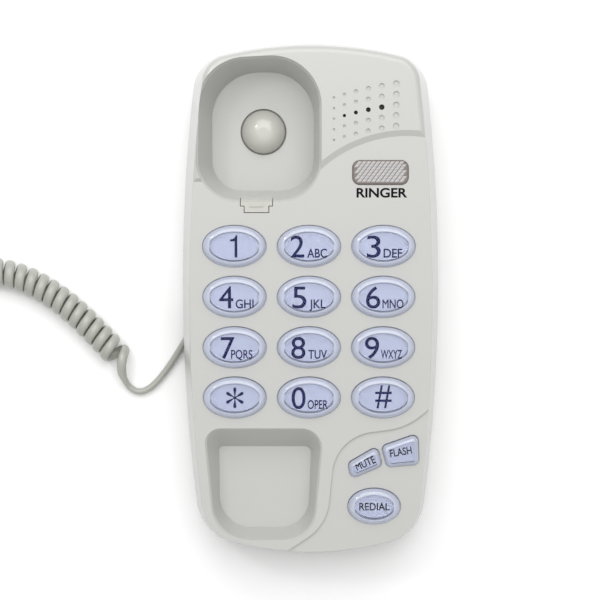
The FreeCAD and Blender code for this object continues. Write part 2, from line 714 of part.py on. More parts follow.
def function_panel():
    body = new_body("function_panel", True)
    sketch = new_sketch(body, "panel_edge", panel_top)
    draw_polygon(sketch, panel_edge, panel_rounds)
    pad(body, sketch, over, "panel_room")
    return body


def function_backing_plate():
    """Thickening under the function panel, so that its plate keeps its thickness."""
    body = new_body("panel_backing", True)
    sketch = new_sketch(body, "backing_edge", under_panel)
    draw_polygon(sketch, panel_edge, panel_rounds)
    pad(body, sketch, size.panel_step, "panel_backing_pad")
    return body


def apertures():
    """All holes of the face plate in the face frame."""
    body = new_body("face_holes", True)
    sketch = new_sketch(body, "key_holes", -over * 2)
    for x, y in key_places:
        draw_ellipse(sketch, x, y, size.key_width + size.key_clearance * 2,
                     size.key_length + size.key_clearance * 2)
    draw_ellipse(sketch, size.redial_x, size.redial_y, size.redial_width + size.key_clearance * 2,
                 size.redial_length + size.key_clearance * 2)
    for corners in (mute_corners, flash_corners):
        draw_polygon(sketch, grown(corners, size.key_clearance), [size.function_corner + size.key_clearance] * 4)
    lens_gap = size.fit_gap
    draw_box(sketch, size.lens_x - size.lens_width / 2 - lens_gap, size.lens_y - size.lens_length / 2 - lens_gap,
             size.lens_x + size.lens_width / 2 + lens_gap, size.lens_y + size.lens_length / 2 + lens_gap,
             size.lens_corner + lens_gap)
    pad(body, sketch, over * 4, "face_holes_pad")
    return body


def sounder_columns():
    for step in range(6):
        x = size.hole_x + size.hole_pitch_x * step + size.hole_pitch_grow * step * step
        y = size.hole_y + size.hole_lift * step - size.hole_bow * step * step
        yield step, x, y, size.hole_width / 2 + size.hole_grow * step / 2


def sounder_dimples():
    """Rows of dimples over the sounder: the middle row is drilled through."""
    body = new_body("sounder_dimples", True)
    shallow = new_sketch(body, "dimples", size.plateau - size.dimple_depth)
    deep = new_sketch(body, "sound_holes", -over * 2)
    for step, x, y, radius in sounder_columns():
        for line in (-2, -1, 0, 1, 2):
            through = line == 0 and 1 <= step <= 4
            draw_circle(deep if through else shallow, x, y + size.hole_pitch_y * line, radius)
    pad(body, shallow, over, "dimples_pad")
    pad(body, deep, over * 4, "sound_holes_pad")
    return body


def tab_blank(name, margin, low, high):
    """Tee-shaped prism of the handset tab or, with a margin, of its guide."""
    body = new_body(name, True)
    half = size.tab_width / 2 + margin
    rail = half + size.tab_rail
    sketch = new_sketch(body, name + "_plan", low)
    front = size.tab_front - margin
    shoulder = size.tab_rail_start - margin
    draw_polygon(sketch, [(size.tab_x - half, front), (size.tab_x + half, front), (size.tab_x + half, shoulder),
                          (size.tab_x + rail, shoulder), (size.tab_x + rail, size.tab_rear),
                          (size.tab_x - rail, size.tab_rear), (size.tab_x - rail, shoulder),
                          (size.tab_x - half, shoulder)], [None] * 8)
    pad(body, sketch, as_size(high) - low, name + "_pad")
    return body


tab_low = -size.tab_depth
tab_room = tab_blank("tab_room", size.tab_clearance, tab_low - size.tab_clearance, size.plateau + over)
tab_guide = tab_blank("tab_guide", size.wall, tab_low - size.wall, -size.plate / 2)

post_places = [(size.post_rear_left_x, size.half_length - size.post_rear_left_setback),
               (size.post_rear_right_x, size.half_length - size.post_rear_right_setback),
               (size.post_front_left_x, size.post_front_left_setback - size.half_length),
               (size.post_front_right_x, size.post_front_right_setback - size.half_length)]
board_screw_places = [(x, y) for x in (size.board_screw_left, size.board_screw_right)
                      for y in (size.board_screw_rear, size.board_screw_front)]
hook_screw_places = [(size.hook_x + size.hook_screw_span * side, size.hook_y) for side in (-0.5, 0.5)]


def top_housing():
    """Moulded shell with both wells, bosses and all its holes."""
    hollow = cut("top_hollow", core_body, [ear_sleeve, mouth_sleeve, tab_guide, function_backing_plate()])
    shell = cut("top_shell", block_body, [hollow])
    bosses = []
    for number, (x, y) in enumerate(post_places):
        bosses.append(cylinder("post_boss_%d" % number, x, y, size.seam_height, size.post_radius, beyond))
    for number, (x, y) in enumerate(board_screw_places):
        bosses.append(cylinder("board_boss_%d" % number, x, y, web_low, size.boss_radius,
                               -web_low - tiny, True))
    for number, (x, y) in enumerate(hook_screw_places):
        bosses.append(cylinder("hook_boss_%d" % number, x, y, -size.hook_board_drop, size.boss_radius,
                               size.hook_board_drop - size.ear_depth - tiny, True))
    rib = cylinder("sounder_rib_outer", size.sounder_x, sounder_y, under_plate - size.sounder_height,
                   size.sounder_radius + size.fit_gap + size.sounder_rib, size.sounder_height + tiny, True)
    rib_room = cylinder("sounder_room", size.sounder_x, sounder_y, under_plate - size.sounder_height - over,
                        size.sounder_radius + size.fit_gap, size.sounder_height + over, True)
    bosses.append(cut("sounder_ring", rib, [rib_room]))
    trimmed = combined("Part::Common", "top_bosses", block_body, [joined("top_boss_group", bosses)])
    raw = joined("top_raw", [shell, trimmed])
    holes = [ear_well, mouth_well, key_field(), function_panel(), apertures(), sounder_dimples(), tab_room]
    for number, (x, y) in enumerate(post_places):
        holes.append(cylinder("post_pilot_%d" % number, x, y, 0, size.pilot_radius,
                              housing_screw_seat + size.housing_screw_length + size.fit_gap * 4))
    for number, (x, y) in enumerate(board_screw_places):
        holes.append(cylinder("board_pilot_%d" % number, x, y, web_low - over, size.pilot_radius,
                              over - size.board_thickness + size.screw_length - size.fit_gap, True))
    for number, (x, y) in enumerate(hook_screw_places):
        holes.append(cylinder("hook_pilot_%d" % number, x, y, -size.hook_board_drop - over, size.pilot_radius,
                              over - size.board_thickness + size.screw_length, True))
    holes.append(cylinder("hook_hole", size.hook_x, size.hook_y, under_ear_floor - over,
                          size.hook_radius + size.hook_clearance, over * 2 + size.wall, True))
    keep("top_housing", cut("top_housing_solid", raw, holes))


top_housing()


# Keys

def key(node, draw, panel, flange_margin, wall):
    """Clear cap with a flange under the plate, and the white legend pad pressed into it."""
    seat = panel - size.plate - size.fit_gap
    low = seat - size.flange_thickness
    body = new_body(node, True)
    flange = new_sketch(body, node + "_flange", low)
    draw(flange, size.key_clearance + flange_margin)
    pad(body, flange, size.flange_thickness, node + "_flange_pad")
    shaft = new_sketch(body, node + "_shaft", low)
    draw(shaft, 0)
    crown = pad(body, shaft, panel + size.key_rise - low, node + "_crown")
    top = (panel + size.key_rise).value
    round_edges(body, crown, size.key_round, lambda point: abs(point.z - top) < tiny, node + "_round")
    hollow = new_sketch(body, node + "_hollow", low)
    draw(hollow, -wall)
    last = pocket_up(body, hollow, panel + size.backing_rise + size.fit_gap - low, node + "_pocket")
    body.Tip = last
    keep(node, body)
    backing = new_body(node + "_legend_pad", True)
    plan = new_sketch(backing, node + "_legend_plan", low)
    draw(plan, -(wall + size.fit_gap))
    pad(backing, plan, panel + size.backing_rise - low, node + "_legend_body")
    keep(node + "_legend_pad", backing)


def oval(x, y, width, length):
    def draw(sketch, margin):
        draw_ellipse(sketch, x, y, width + as_size(margin) * 2, length + as_size(margin) * 2)
    return draw


def slanted(corners):
    def draw(sketch, margin):
        margin = as_size(margin)
        radius = size.function_corner + margin
        if margin.value < 0:
            radius = size.function_corner / 2
        draw_polygon(sketch, grown(corners, margin), [radius] * 4)
    return draw


for node, (x, y) in zip(key_names, key_places):
    key(node, oval(x, y, size.key_width, size.key_length), as_size(0), size.key_flange,
        size.backing_margin)
key("redial_key", oval(size.redial_x, size.redial_y, size.redial_width, size.redial_length),
    panel_top, size.key_flange, size.backing_margin)
key("mute_key", slanted(mute_corners), panel_top, size.function_flange, size.function_wall)
key("flash_key", slanted(flash_corners), panel_top, size.function_flange, size.function_wall)


# Key mat and boards

def middle_of(corners):
    total_x, total_y = corners[0]
    for x, y in corners[1:]:
        total_x = total_x + x
        total_y = total_y + y
    return total_x / len(corners), total_y / len(corners)


function_places = [(size.redial_x, size.redial_y), middle_of(mute_corners), middle_of(flash_corners)]


def board_outline(margin, arm_rear):
    """Board round the mouth well: a leg under the function keys and an arm under the lens."""
    margin = as_size(margin)
    return [
        (margin - board_half_width, size.board_front + margin),
        (size.board_leg_left + margin, size.board_front + margin),
        (size.board_leg_left + margin, size.board_leg_front + margin),
        (board_leg_right - size.board_leg_chamfer - margin, size.board_leg_front + margin),
        (board_leg_right - margin, size.board_leg_front + size.board_leg_chamfer + margin),
        (board_leg_right - margin, size.board_front),
        (board_half_width - margin, size.board_front),
        (board_half_width - margin, size.board_rear - margin),
        (board_half_width - margin - 1, as_size(arm_rear) - margin),
        (size.board_arm_left + margin, as_size(arm_rear) - margin),
        (size.board_arm_left + margin, size.board_rear - margin),
        (margin - board_half_width, size.board_rear - margin),
    ]


def mat():
    body = new_body("keypad_mat", True)
    web = new_sketch(body, "mat_plan", web_low)
    outline = board_outline(size.mat_margin, size.board_rear + size.mat_margin)
    plan = outline[:8] + outline[11:]
    draw_polygon(web, plan, [None] * len(plan))
    for x, y in board_screw_places:
        draw_circle(web, x, y, size.boss_radius + size.key_clearance)
    pad(body, web, size.mat_thickness, "mat_web")
    domes = new_sketch(body, "digit_domes", web_top)
    for x, y in key_places:
        draw_circle(domes, x, y, size.dome_radius)
    pad(body, domes, size.dome_height, "digit_dome_pad", size.dome_taper)
    low_domes = new_sketch(body, "function_domes", web_top)
    for x, y in function_places:
        draw_circle(low_domes, x, y, size.dome_radius)
    pad(body, low_domes, size.dome_height - size.panel_step, "function_dome_pad", size.dome_taper)
    keep("keypad_mat", body)


def key_board():
    body = new_body("keypad_board", True)
    plan = new_sketch(body, "board_plan", board_low)
    outline = board_outline(0, size.board_arm_rear)
    draw_polygon(plan, outline, [None] * len(outline))
    for x, y in board_screw_places:
        draw_circle(plan, x, y, size.pilot_radius + size.fit_gap)
    pad(body, plan, size.board_thickness, "board_body")
    keep("keypad_board", body)


def screw(name, x, y, seat, shank, in_face_frame):
    """Pan-head screw driven upwards: its head lies under the seat."""
    head = cylinder(name + "_head", x, y, as_size(seat) - size.screw_head_height, size.screw_head,
                    size.screw_head_height, in_face_frame)
    stem = cylinder(name + "_stem", x, y, as_size(seat) - tiny, size.pilot_radius, as_size(shank) + tiny,
                    in_face_frame)
    return joined(name, [head, stem])


def group(node, pieces):
    """Separate like pieces kept as one node."""
    feature = doc.addObject("Part::Compound", node)
    feature.Links = pieces
    keep(node, feature)


mat()
key_board()
group("board_screws", [screw("board_screw_%d" % number, x, y, board_low, size.screw_length - size.fit_gap * 2, True)
                       for number, (x, y) in enumerate(board_screw_places)])


# Hook button and its switch

def hook_button():
    floor = ear_floor
    low = under_ear_floor - size.fit_gap - size.hook_flange_thickness
    body = new_body("hook_button", True)
    flange = new_sketch(body, "hook_flange", low)
    draw_circle(flange, size.hook_x, size.hook_y, size.hook_flange_radius)
    pad(body, flange, size.hook_flange_thickness, "hook_flange_pad")
    crown = new_sketch(body, "hook_crown", low)
    draw_circle(crown, size.hook_x, size.hook_y, size.hook_radius)
    dome = pad(body, crown, floor + size.hook_rise - low, "hook_crown_pad")
    top = (floor + size.hook_rise).value
    round_edges(body, dome, size.hook_round, lambda point: abs(point.z - top) < tiny, "hook_dome")
    stem = new_sketch(body, "hook_stem_plan", low - size.hook_stem)
    draw_circle(stem, size.hook_x, size.hook_y, size.hook_stem_radius)
    body.Tip = pad(body, stem, size.hook_stem + size.hook_flange_thickness, "hook_stem_pad")
    keep("hook_button", body)
    return low


hook_low = hook_button()
hook_board_top = -size.hook_board_drop
hook_board_low = hook_board_top - size.board_thickness


def hook_board():
    body = new_body("hook_board", True)
    plan = new_sketch(body, "hook_board_plan", hook_board_low)
    draw_box(plan, size.hook_x - size.hook_board_width / 2, size.hook_y - size.hook_board_length / 2,
             size.hook_x + size.hook_board_width / 2, size.hook_y + size.hook_board_length / 2, size.boss_radius)
    for x, y in hook_screw_places:
        draw_circle(plan, x, y, size.pilot_radius + size.fit_gap)
    pad(body, plan, size.board_thickness, "hook_board_body")
    keep("hook_board", body)


def hook_switch():
    body = new_body("hook_switch", True)
    plan = new_sketch(body, "switch_plan", hook_board_top)
    half = size.switch_side / 2
    draw_box(plan, size.hook_x - half, size.hook_y - half, size.hook_x + half, size.hook_y + half)
    pad(body, plan, size.switch_height * 0.7, "switch_case")
    button = new_sketch(body, "switch_button", hook_board_top)
    draw_circle(button, size.hook_x, size.hook_y, half * 0.6)
    pad(body, button, size.switch_height, "switch_button_pad")
    keep("hook_switch", body)


hook_board()
hook_switch()
group("hook_board_screws", [screw("hook_screw_%d" % number, x, y, hook_board_low, size.screw_length, True)
                            for number, (x, y) in enumerate(hook_screw_places)])


# Handset tab, ringer lens, lamp and sounder

def handset_tab():
    blank = tab_blank("tab_blank", as_size(0), tab_low, as_size(0))
    bar = box("tab_bar", size.tab_x - size.tab_bar_width / 2, size.tab_bar_y - size.tab_bar_length / 2, -tiny,
              size.tab_bar_width, size.tab_bar_length, size.tab_bar_rise + tiny, True)
    keep("handset_tab", cut("tab_cut", joined("tab_whole", [blank, bar]), [ear_well]))


def ringer_lens():
    body = new_body("ringer_lens", True)
    left = size.lens_x - size.lens_width / 2
    right = size.lens_x + size.lens_width / 2
    front = size.lens_y - size.lens_length / 2
    rear = size.lens_y + size.lens_length / 2
    seat = under_plate - size.fit_gap
    flange = new_sketch(body, "lens_flange", seat - size.lens_flange)
    draw_box(flange, left - size.lens_flange, front - size.lens_flange, right + size.lens_flange,
             rear + size.lens_flange, size.lens_corner + size.lens_flange)
    pad(body, flange, size.lens_flange, "lens_flange_pad")
    window = new_sketch(body, "lens_window", seat - size.lens_flange)
    draw_box(window, left, front, right, rear, size.lens_corner)
    face = pad(body, window, size.lens_flange - seat + size.lens_rise, "lens_body")
    doc.recompute()
    top = size.lens_rise.value
    names = ["Edge%d" % index for index, edge in enumerate(face.Shape.Edges, start=1)
             if all(abs(vertex.Z - top) < tiny for vertex in edge.Vertexes)]
    bevel = body.newObject("PartDesign::Chamfer", "lens_bevel_cut")
    bevel.Base = (face, names)
    bind(bevel, "Size", size.lens_bevel)
    body.Tip = bevel
    keep("ringer_lens", body)


handset_tab()
ringer_lens()
lamp_top = under_plate - size.fit_gap - size.lens_flange - size.fit_gap
keep("ringer_lamp", cylinder("lamp", size.lens_x, size.lens_y, board_low + size.board_thickness, size.lamp_radius,
                             lamp_top - board_low - size.board_thickness, True))
keep("ringer_sounder", cylinder("sounder", size.sounder_x, sounder_y, under_plate - size.sounder_height,
                                size.sounder_radius, size.sounder_height, True))


# Bottom housing

def notch_box(name, margin):
    margin = as_size(margin)
    inner = size.notch_depth - size.half_width
    return box(name, -size.half_width - over, size.notch_front - margin, -over,
               inner + margin + size.half_width + over, size.notch_rear - size.notch_front + margin * 2,
               size.notch_top + over + margin)


def keyhole(name, y):
    body = new_body(name)
    sketch = new_sketch(body, name + "_entry", 0)
    draw_circle(sketch, 0, y, size.keyhole_entry)
    pad(body, sketch, inside_floor + tiny, name + "_entry_pad")
    slot = new_sketch(body, name + "_slot", 0)
    draw_box(slot, -size.keyhole_slot, y, size.keyhole_slot, as_size(y) + size.keyhole_run + size.keyhole_slot,
             size.keyhole_slot * 0.99)
    pad(body, slot, inside_floor + tiny, name + "_slot_pad")
    return body


rear_inside = size.half_length - size.wall - size.bottom_draft
feet_places = [(size.foot_x * side, size.foot_y * end) for side in (-1, 1) for end in (-1, 1)]
ballast_places = [(size.ballast_screw_x * side, size.ballast_y) for side in (-1, 1)]
ballast_low = inside_floor + size.ballast_lift
slider_rear = size.half_length - size.slider_setback
slider_front = slider_rear - size.slider_length


def bottom_housing():
    """Moulded tray with posts, foot seats, keyholes, the cord notch and the rear sockets."""
    body = new_body("bottom_block")
    lower = new_sketch(body, "bottom_edge", size.foot_height)
    draw_outline(lower, size.bottom_draft)
    upper = new_sketch(body, "bottom_seam", size.seam_height)
    draw_outline(upper, 0)
    loft(body, lower, upper, "bottom_loft")
    tray = new_body("bottom_tray")
    low = new_sketch(tray, "tray_floor", inside_floor)
    draw_outline(low, size.wall + size.bottom_draft)
    high = new_sketch(tray, "tray_seam", size.seam_height)
    draw_outline(high, size.wall + size.bottom_draft / 4)
    loft(tray, low, high, "tray_loft")
    hollow = cut("bottom_hollow", tray, [notch_box("notch_sleeve", size.wall)])
    shell = cut("bottom_shell", body, [hollow])
    adds = [shell]
    holes = [notch_box("cord_notch", 0), keyhole("keyhole_rear", size.keyhole_span / 2),
             keyhole("keyhole_front", -(size.keyhole_span / 2))]
    for number, (x, y) in enumerate(post_places):
        adds.append(cylinder("post_%d" % number, x, y, size.foot_height, size.post_radius,
                             size.seam_height - size.foot_height))
        holes.append(cylinder("post_hole_%d" % number, x, y, 0, size.post_hole, size.seam_height + over))
        holes.append(cylinder("post_recess_%d" % number, x, y, 0, size.post_counterbore, housing_screw_seat))
    for number, (x, y) in enumerate(feet_places):
        holes.append(cylinder("foot_seat_%d" % number, x, y, 0, size.foot_radius + size.fit_gap,
                              size.foot_height + size.foot_seat))
    for number, (x, y) in enumerate(ballast_places):
        adds.append(cylinder("ballast_peg_%d" % number, x, y, size.foot_height, size.boss_radius,
                             ballast_low - size.foot_height))
        holes.append(cylinder("ballast_pilot_%d" % number, x, y, size.foot_height + size.wall / 2,
                              size.pilot_radius, beyond))
    holes.append(box("line_window", size.line_width / -2 - size.fit_gap, rear_inside - over,
                     size.line_z - size.line_height / 2 - size.fit_gap, size.line_width + size.fit_gap * 2,
                     over * 4, size.line_height + size.fit_gap * 2))
    for number, side in enumerate((-1, 1)):
        middle = size.slider_x * side
        reach = size.knob_width / 2 + size.knob_travel + size.knob_clearance
        tall = size.knob_height / 2 + size.knob_clearance
        holes.append(box("knob_slot_%d" % number, middle - reach, rear_inside - over, size.slider_z - tall,
                         reach * 2, over * 4, tall * 2))
    half_jack = size.jack_width / 2 + size.fit_gap
    holes.append(box("jack_window", size.notch_depth - size.half_width - over, size.jack_y - half_jack,
                     inside_floor, over * 2, half_jack * 2, size.jack_height + size.fit_gap))
    keep("bottom_housing", cut("bottom_housing_solid", joined("bottom_raw", adds), holes))


bottom_housing()
group("rubber_feet", [cylinder("foot_%d" % number, x, y, 0, size.foot_radius, size.foot_height + size.foot_seat)
                      for number, (x, y) in enumerate(feet_places)])
group("housing_screws", [screw("housing_screw_%d" % number, x, y, housing_screw_seat,
                               size.housing_screw_length, False)
                         for number, (x, y) in enumerate(post_places)])


def ballast():
    body = new_body("ballast_plate")
    plan = new_sketch(body, "ballast_plan", ballast_low)
    draw_box(plan, size.ballast_width / -2, size.ballast_y - size.ballast_length / 2, size.ballast_width / 2,
             size.ballast_y + size.ballast_length / 2, size.boss_radius)
    for x, y in ballast_places:
        draw_circle(plan, x, y, size.pilot_radius + size.fit_gap)
    pad(body, plan, size.ballast_thickness, "ballast_body")
    keep("ballast_plate", body)
    screws = []
    for number, (x, y) in enumerate(ballast_places):
        seat = ballast_low + size.ballast_thickness
        head = cylinder("ballast_head_%d" % number, x, y, seat, size.screw_head, size.screw_head_height)
        stem = cylinder("ballast_stem_%d" % number, x, y, seat - size.ballast_screw_length, size.pilot_radius,
                        size.ballast_screw_length + tiny)
        screws.append(joined("ballast_screw_%d" % number, [head, stem]))
    group("ballast_screws", screws)


ballast()


# Sockets and slide switches

def line_jack():
    half = size.line_width / 2
    base = size.line_z - size.line_height / 2
    front = size.half_length - size.bottom_draft - size.line_length
    shell = box("line_case", -half, front, base, size.line_width, size.line_length, size.line_height)
    rear = size.half_length - size.bottom_draft
    socket = box("line_socket", size.line_socket_width / -2, rear - size.line_socket_depth,
                 size.line_z - size.line_socket_height / 2, size.line_socket_width, size.line_socket_depth + over,
                 size.line_socket_height)
    key_way = box("line_latch", size.line_socket_width / -4, rear - size.line_socket_depth,
                  size.line_z - size.line_socket_height / 2 - size.wall / 2, size.line_socket_width / 2,
                  size.line_socket_depth + over, size.wall)
    keep("line_jack", cut("line_jack_solid", shell, [socket, key_way]))


def handset_jack():
    face = size.notch_depth - size.half_width
    half = size.jack_width / 2
    case = box("jack_case", face, size.jack_y - half, inside_floor, size.jack_length, size.jack_width,
               size.jack_height)
    wide = size.plug_width / 2 + size.plug_clearance
    tall = size.plug_height / 2 + size.plug_clearance
    socket = box("jack_socket", face - over, size.jack_y - wide, size.jack_z - tall,
                 size.plug_seat + size.plug_clearance + over, wide * 2, tall * 2)
    keep("handset_jack", cut("handset_jack_solid", case, [socket]))


def slide_switch(node, side):
    middle = size.slider_x * side
    half = size.slider_width / 2
    base = size.slider_z - size.slider_height / 2
    case = box(node + "_case", middle - half, slider_front, base, size.slider_width, size.slider_length,
               size.slider_height)
    reach = size.knob_width / 2 + size.knob_travel + size.knob_clearance
    tall = size.knob_height / 2 + size.knob_clearance
    way = box(node + "_way", middle - reach, slider_front + size.slider_length / 2, size.slider_z - tall,
              reach * 2, beyond, tall * 2)
    keep(node + "_body", cut(node + "_body_solid", case, [way]))
    knob_front = slider_front + size.slider_length / 2 + size.fit_gap
    keep(node + "_knob", box(node + "_knob_block", middle - size.knob_width / 2, knob_front,
                             size.slider_z - size.knob_height / 2, size.knob_width,
                             size.half_length - size.knob_setback - knob_front, size.knob_height))


line_jack()
handset_jack()
slide_switch("ringer_switch", -1)
slide_switch("dial_switch", 1)


def modular_plug(node, tip, middle_y, middle_z, facing):
    """Modular plug with its latch; it points along +X, or along -Y when it lies at the cord's end."""
    half = size.plug_width / 2
    base = middle_z - size.plug_height / 2
    if facing == "right":
        block = box(node + "_block", tip - size.plug_length, middle_y - half, base, size.plug_length,
                    size.plug_width, size.plug_height)
        room = box(node + "_room", tip - size.plug_length * 0.45, middle_y - half / 2, base - tiny,
                   size.plug_length * 0.2, half, size.plug_height / 3)
    else:
        block = box(node + "_block", tip - half, middle_y - size.plug_length, base, size.plug_width,
                    size.plug_length, size.plug_height)
        room = box(node + "_room", tip - half / 2, middle_y - size.plug_length * 0.75, base + size.plug_height * 2 / 3,
                   half, size.plug_length * 0.2, size.plug_height)
    keep(node, cut(node + "_solid", block, [room]))


jack_face = size.notch_depth - size.half_width
modular_plug("cord_base_plug", jack_face + size.plug_seat, size.jack_y, size.jack_z, "right")


# Handset cord: a straight tail, the curls and a short far tail to the loose plug

TAIL_ROUTE = [
    (-44.7, -12.5, 8.6), (-48.6, -12.5, 8.6), (-52.0, -16.6, 4.9), (-56.2, -23.6, 2.4), (-60.7, -30.4, 1.9),
    (-65.6, -36.4, 1.9), (-70.6, -39.6, 1.9), (-75.2, -38.6, 2.1), (-77.6, -35.6, 2.9),
]
COIL_ROUTE = [
    (-76.0, -29.0, 6.4), (-90.0, -13.6, 6.4), (-105.0, 0.2, 6.4), (-122.0, 9.8, 6.4), (-140.0, 12.4, 6.4),
    (-154.0, 6.6, 6.4), (-163.0, -6.0, 6.4), (-166.0, -24.0, 6.4), (-165.0, -44.0, 6.4), (-163.0, -64.0, 6.4),
    (-160.5, -84.0, 6.4), (-159.5, -100.0, 6.4),
]
LEAVE_POINT = (-159.6, -108.0, 1.9)
END_ROUTE = [
    (-159.6, -111.6, 1.9), (-159.6, -116.6, 1.9), (-159.0, -121.8, 3.0), (-159.0, -126.4, 3.0),
]
ARC_SHARE = 0.45


class Route:
    """Straight runs joined by tangent arcs, as large as the runs allow."""

    def __init__(self, name, points):
        spots = [Vector(*point) for point in points]
        self.edges = []
        self.radii = []
        here = spots[0]
        for i in range(1, len(spots) - 1):
            behind = spots[i - 1] - spots[i]
            ahead = spots[i + 1] - spots[i]
            reach = ARC_SHARE * min(behind.Length, ahead.Length)
            unit_behind = Vector(behind).normalize()
            unit_ahead = Vector(ahead).normalize()
            half_turn = (math.pi - unit_behind.getAngle(unit_ahead)) / 2
            radius = reach / math.tan(half_turn)
            enter = spots[i] + unit_behind * reach
            leave = spots[i] + unit_ahead * reach
            inward = (unit_behind + unit_ahead).normalize()
            centre = spots[i] + inward * (radius / math.cos(half_turn))
            self.edges.append(Part.LineSegment(here, enter).toShape())
            self.edges.append(Part.Arc(enter, centre - inward * radius, leave).toShape())
            self.radii.append(radius)
            here = leave
        self.edges.append(Part.LineSegment(here, spots[-1]).toShape())
        self.length = sum(edge.Length for edge in self.edges)
        print(name, "length %.1f, radii" % self.length, ["%.1f" % radius for radius in self.radii])

    def at(self, distance):
        """Point and heading at a distance from the start."""
        for edge in self.edges:
            if distance <= edge.Length or edge is self.edges[-1]:
                distance = min(distance, edge.Length)
                parameter = edge.getParameterByLength(distance)
                return edge.valueAt(parameter), edge.tangentAt(parameter)
            distance -= edge.Length


def tube(name, edges, width):
    """One round tube along joined edges; its volume is compared with section times length."""
    path = Part.Wire(edges)
    start = edges[0].valueAt(edges[0].FirstParameter)
    heading = edges[0].tangentAt(edges[0].FirstParameter)
    ring = Part.Wire([Part.Circle(start, heading, width / 2).toShape()])
    solid = path.makePipeShell([ring], True, False)
    if solid.Volume < 0:
        solid.reverse()
    expected = math.pi * width ** 2 / 4 * path.Length
    print(name, "volume %.1f, section times length %.1f" % (solid.Volume, expected))
    return solid


def biarc(start, start_heading, end, end_heading):
    """Two arcs that leave and arrive along the given headings."""
    chord = end - start
    both = start_heading + end_heading
    square = 2 * (start_heading.dot(end_heading) - 1)
    linear = -2 * chord.dot(both)
    constant = chord.dot(chord)
    if abs(square) < 1e-9:
        reach = -constant / linear
    else:
        root = math.sqrt(linear ** 2 - 4 * square * constant)
        reach = max((-linear - root) / (2 * square), (-linear + root) / (2 * square))
    first = start + start_heading * reach
    second = end - end_heading * reach
    joint = (first + second) * 0.5
    return [arc_through(start, first, joint), arc_through(joint, second, end)]


def arc_through(start, corner, end):
    """Arc tangent to both legs of a corner."""
    half = (start - corner).getAngle(end - corner) / 2
    middle = (start + end) * 0.5
    toward = corner - middle
    if toward.Length < 1e-6:
        return Part.LineSegment(start, end).toShape()
    sagitta = (end - start).Length / 2 * math.tan((math.pi / 2 - half) / 2)
    return Part.Arc(start, middle + toward.normalize() * sagitta, end).toShape()


def winding(name, points, lead_in, lead_out, width):
    """Tube through points of a helix, with a straight lead at each end."""
    edges = [Part.LineSegment(lead_in[0], lead_in[1]).toShape()]
    spots = [(lead_in[1], (lead_in[1] - lead_in[0]).normalize())] + points
    spots = spots + [(lead_out[0], (lead_out[1] - lead_out[0]).normalize())]
    for (start, start_heading), (end, end_heading) in zip(spots, spots[1:]):
        edges += biarc(start, start_heading, end, end_heading)
    edges.append(Part.LineSegment(lead_out[0], lead_out[1]).toShape())
    samples = []
    for edge in edges:
        for share in (0.0, 0.25, 0.5, 0.75):
            samples.append(edge.valueAt(edge.FirstParameter + (edge.LastParameter - edge.FirstParameter) * share))
    turn = 12
    least = min((samples[i] - samples[k]).Length for i in range(0, len(samples), 2)
                for k in range(i + turn, min(i + 8 * turn, len(samples))))
    print(name, "least gap to itself %.2f" % (least - width))
    return tube(name, edges, width)


def solid_piece(node, shape):
    feature = doc.addObject("Part::Feature", node)
    feature.Shape = shape
    feature.Placement = Placement()
    keep(node, feature)


def handset_cord():
    width = size.cord_width.value
    coil_radius = (size.coil_width.value - width) / 2
    tail = Route("cord_tail", TAIL_ROUTE)
    solid_piece("cord_tail", tube("cord_tail", tail.edges, width))
    axis = Route("cord_curls axis", COIL_ROUTE)
    join, join_heading = tail.at(tail.length)
    pitch = size.coil_pitch.value
    open_turn = size.coil_open_turn.value
    start_phase = math.radians(size.coil_start_angle.value)
    steps = int(4 * size.coil_turns.value) + 2
    points = []
    distance = size.coil_start.value

    def on_coil(along, phase):
        spot, heading = axis.at(along)
        left = Vector(-heading.y, heading.x, 0)
        return spot + left * (coil_radius * math.cos(phase)) + Vector(0, 0, coil_radius * math.sin(phase))

    places = []
    for step in range(steps + 1):
        phase = start_phase + step * math.pi / 2
        places.append((distance, phase))
        distance += pitch / 4 * (open_turn if step < 4 else 1.0)
    for along, phase in places:
        ahead = 0.02
        rate = 2 * math.pi / pitch
        here = on_coil(along, phase)
        near = on_coil(along + ahead, phase + ahead * rate) - on_coil(along - ahead, phase - ahead * rate)
        points.append((here, near.normalize()))
    lead = (join, join + join_heading * width)
    leave = (Vector(*LEAVE_POINT), Vector(*END_ROUTE[0]))
    solid_piece("cord_curls", winding("cord_curls", points, lead, leave, width))
    end = Route("cord_end", END_ROUTE)
    solid_piece("cord_end", tube("cord_end", end.edges, width))
    plug_x, plug_y, plug_z = END_ROUTE[-1]
    modular_plug("cord_far_plug", as_size(plug_x), as_size(plug_y), as_size(plug_z), "front")


handset_cord()


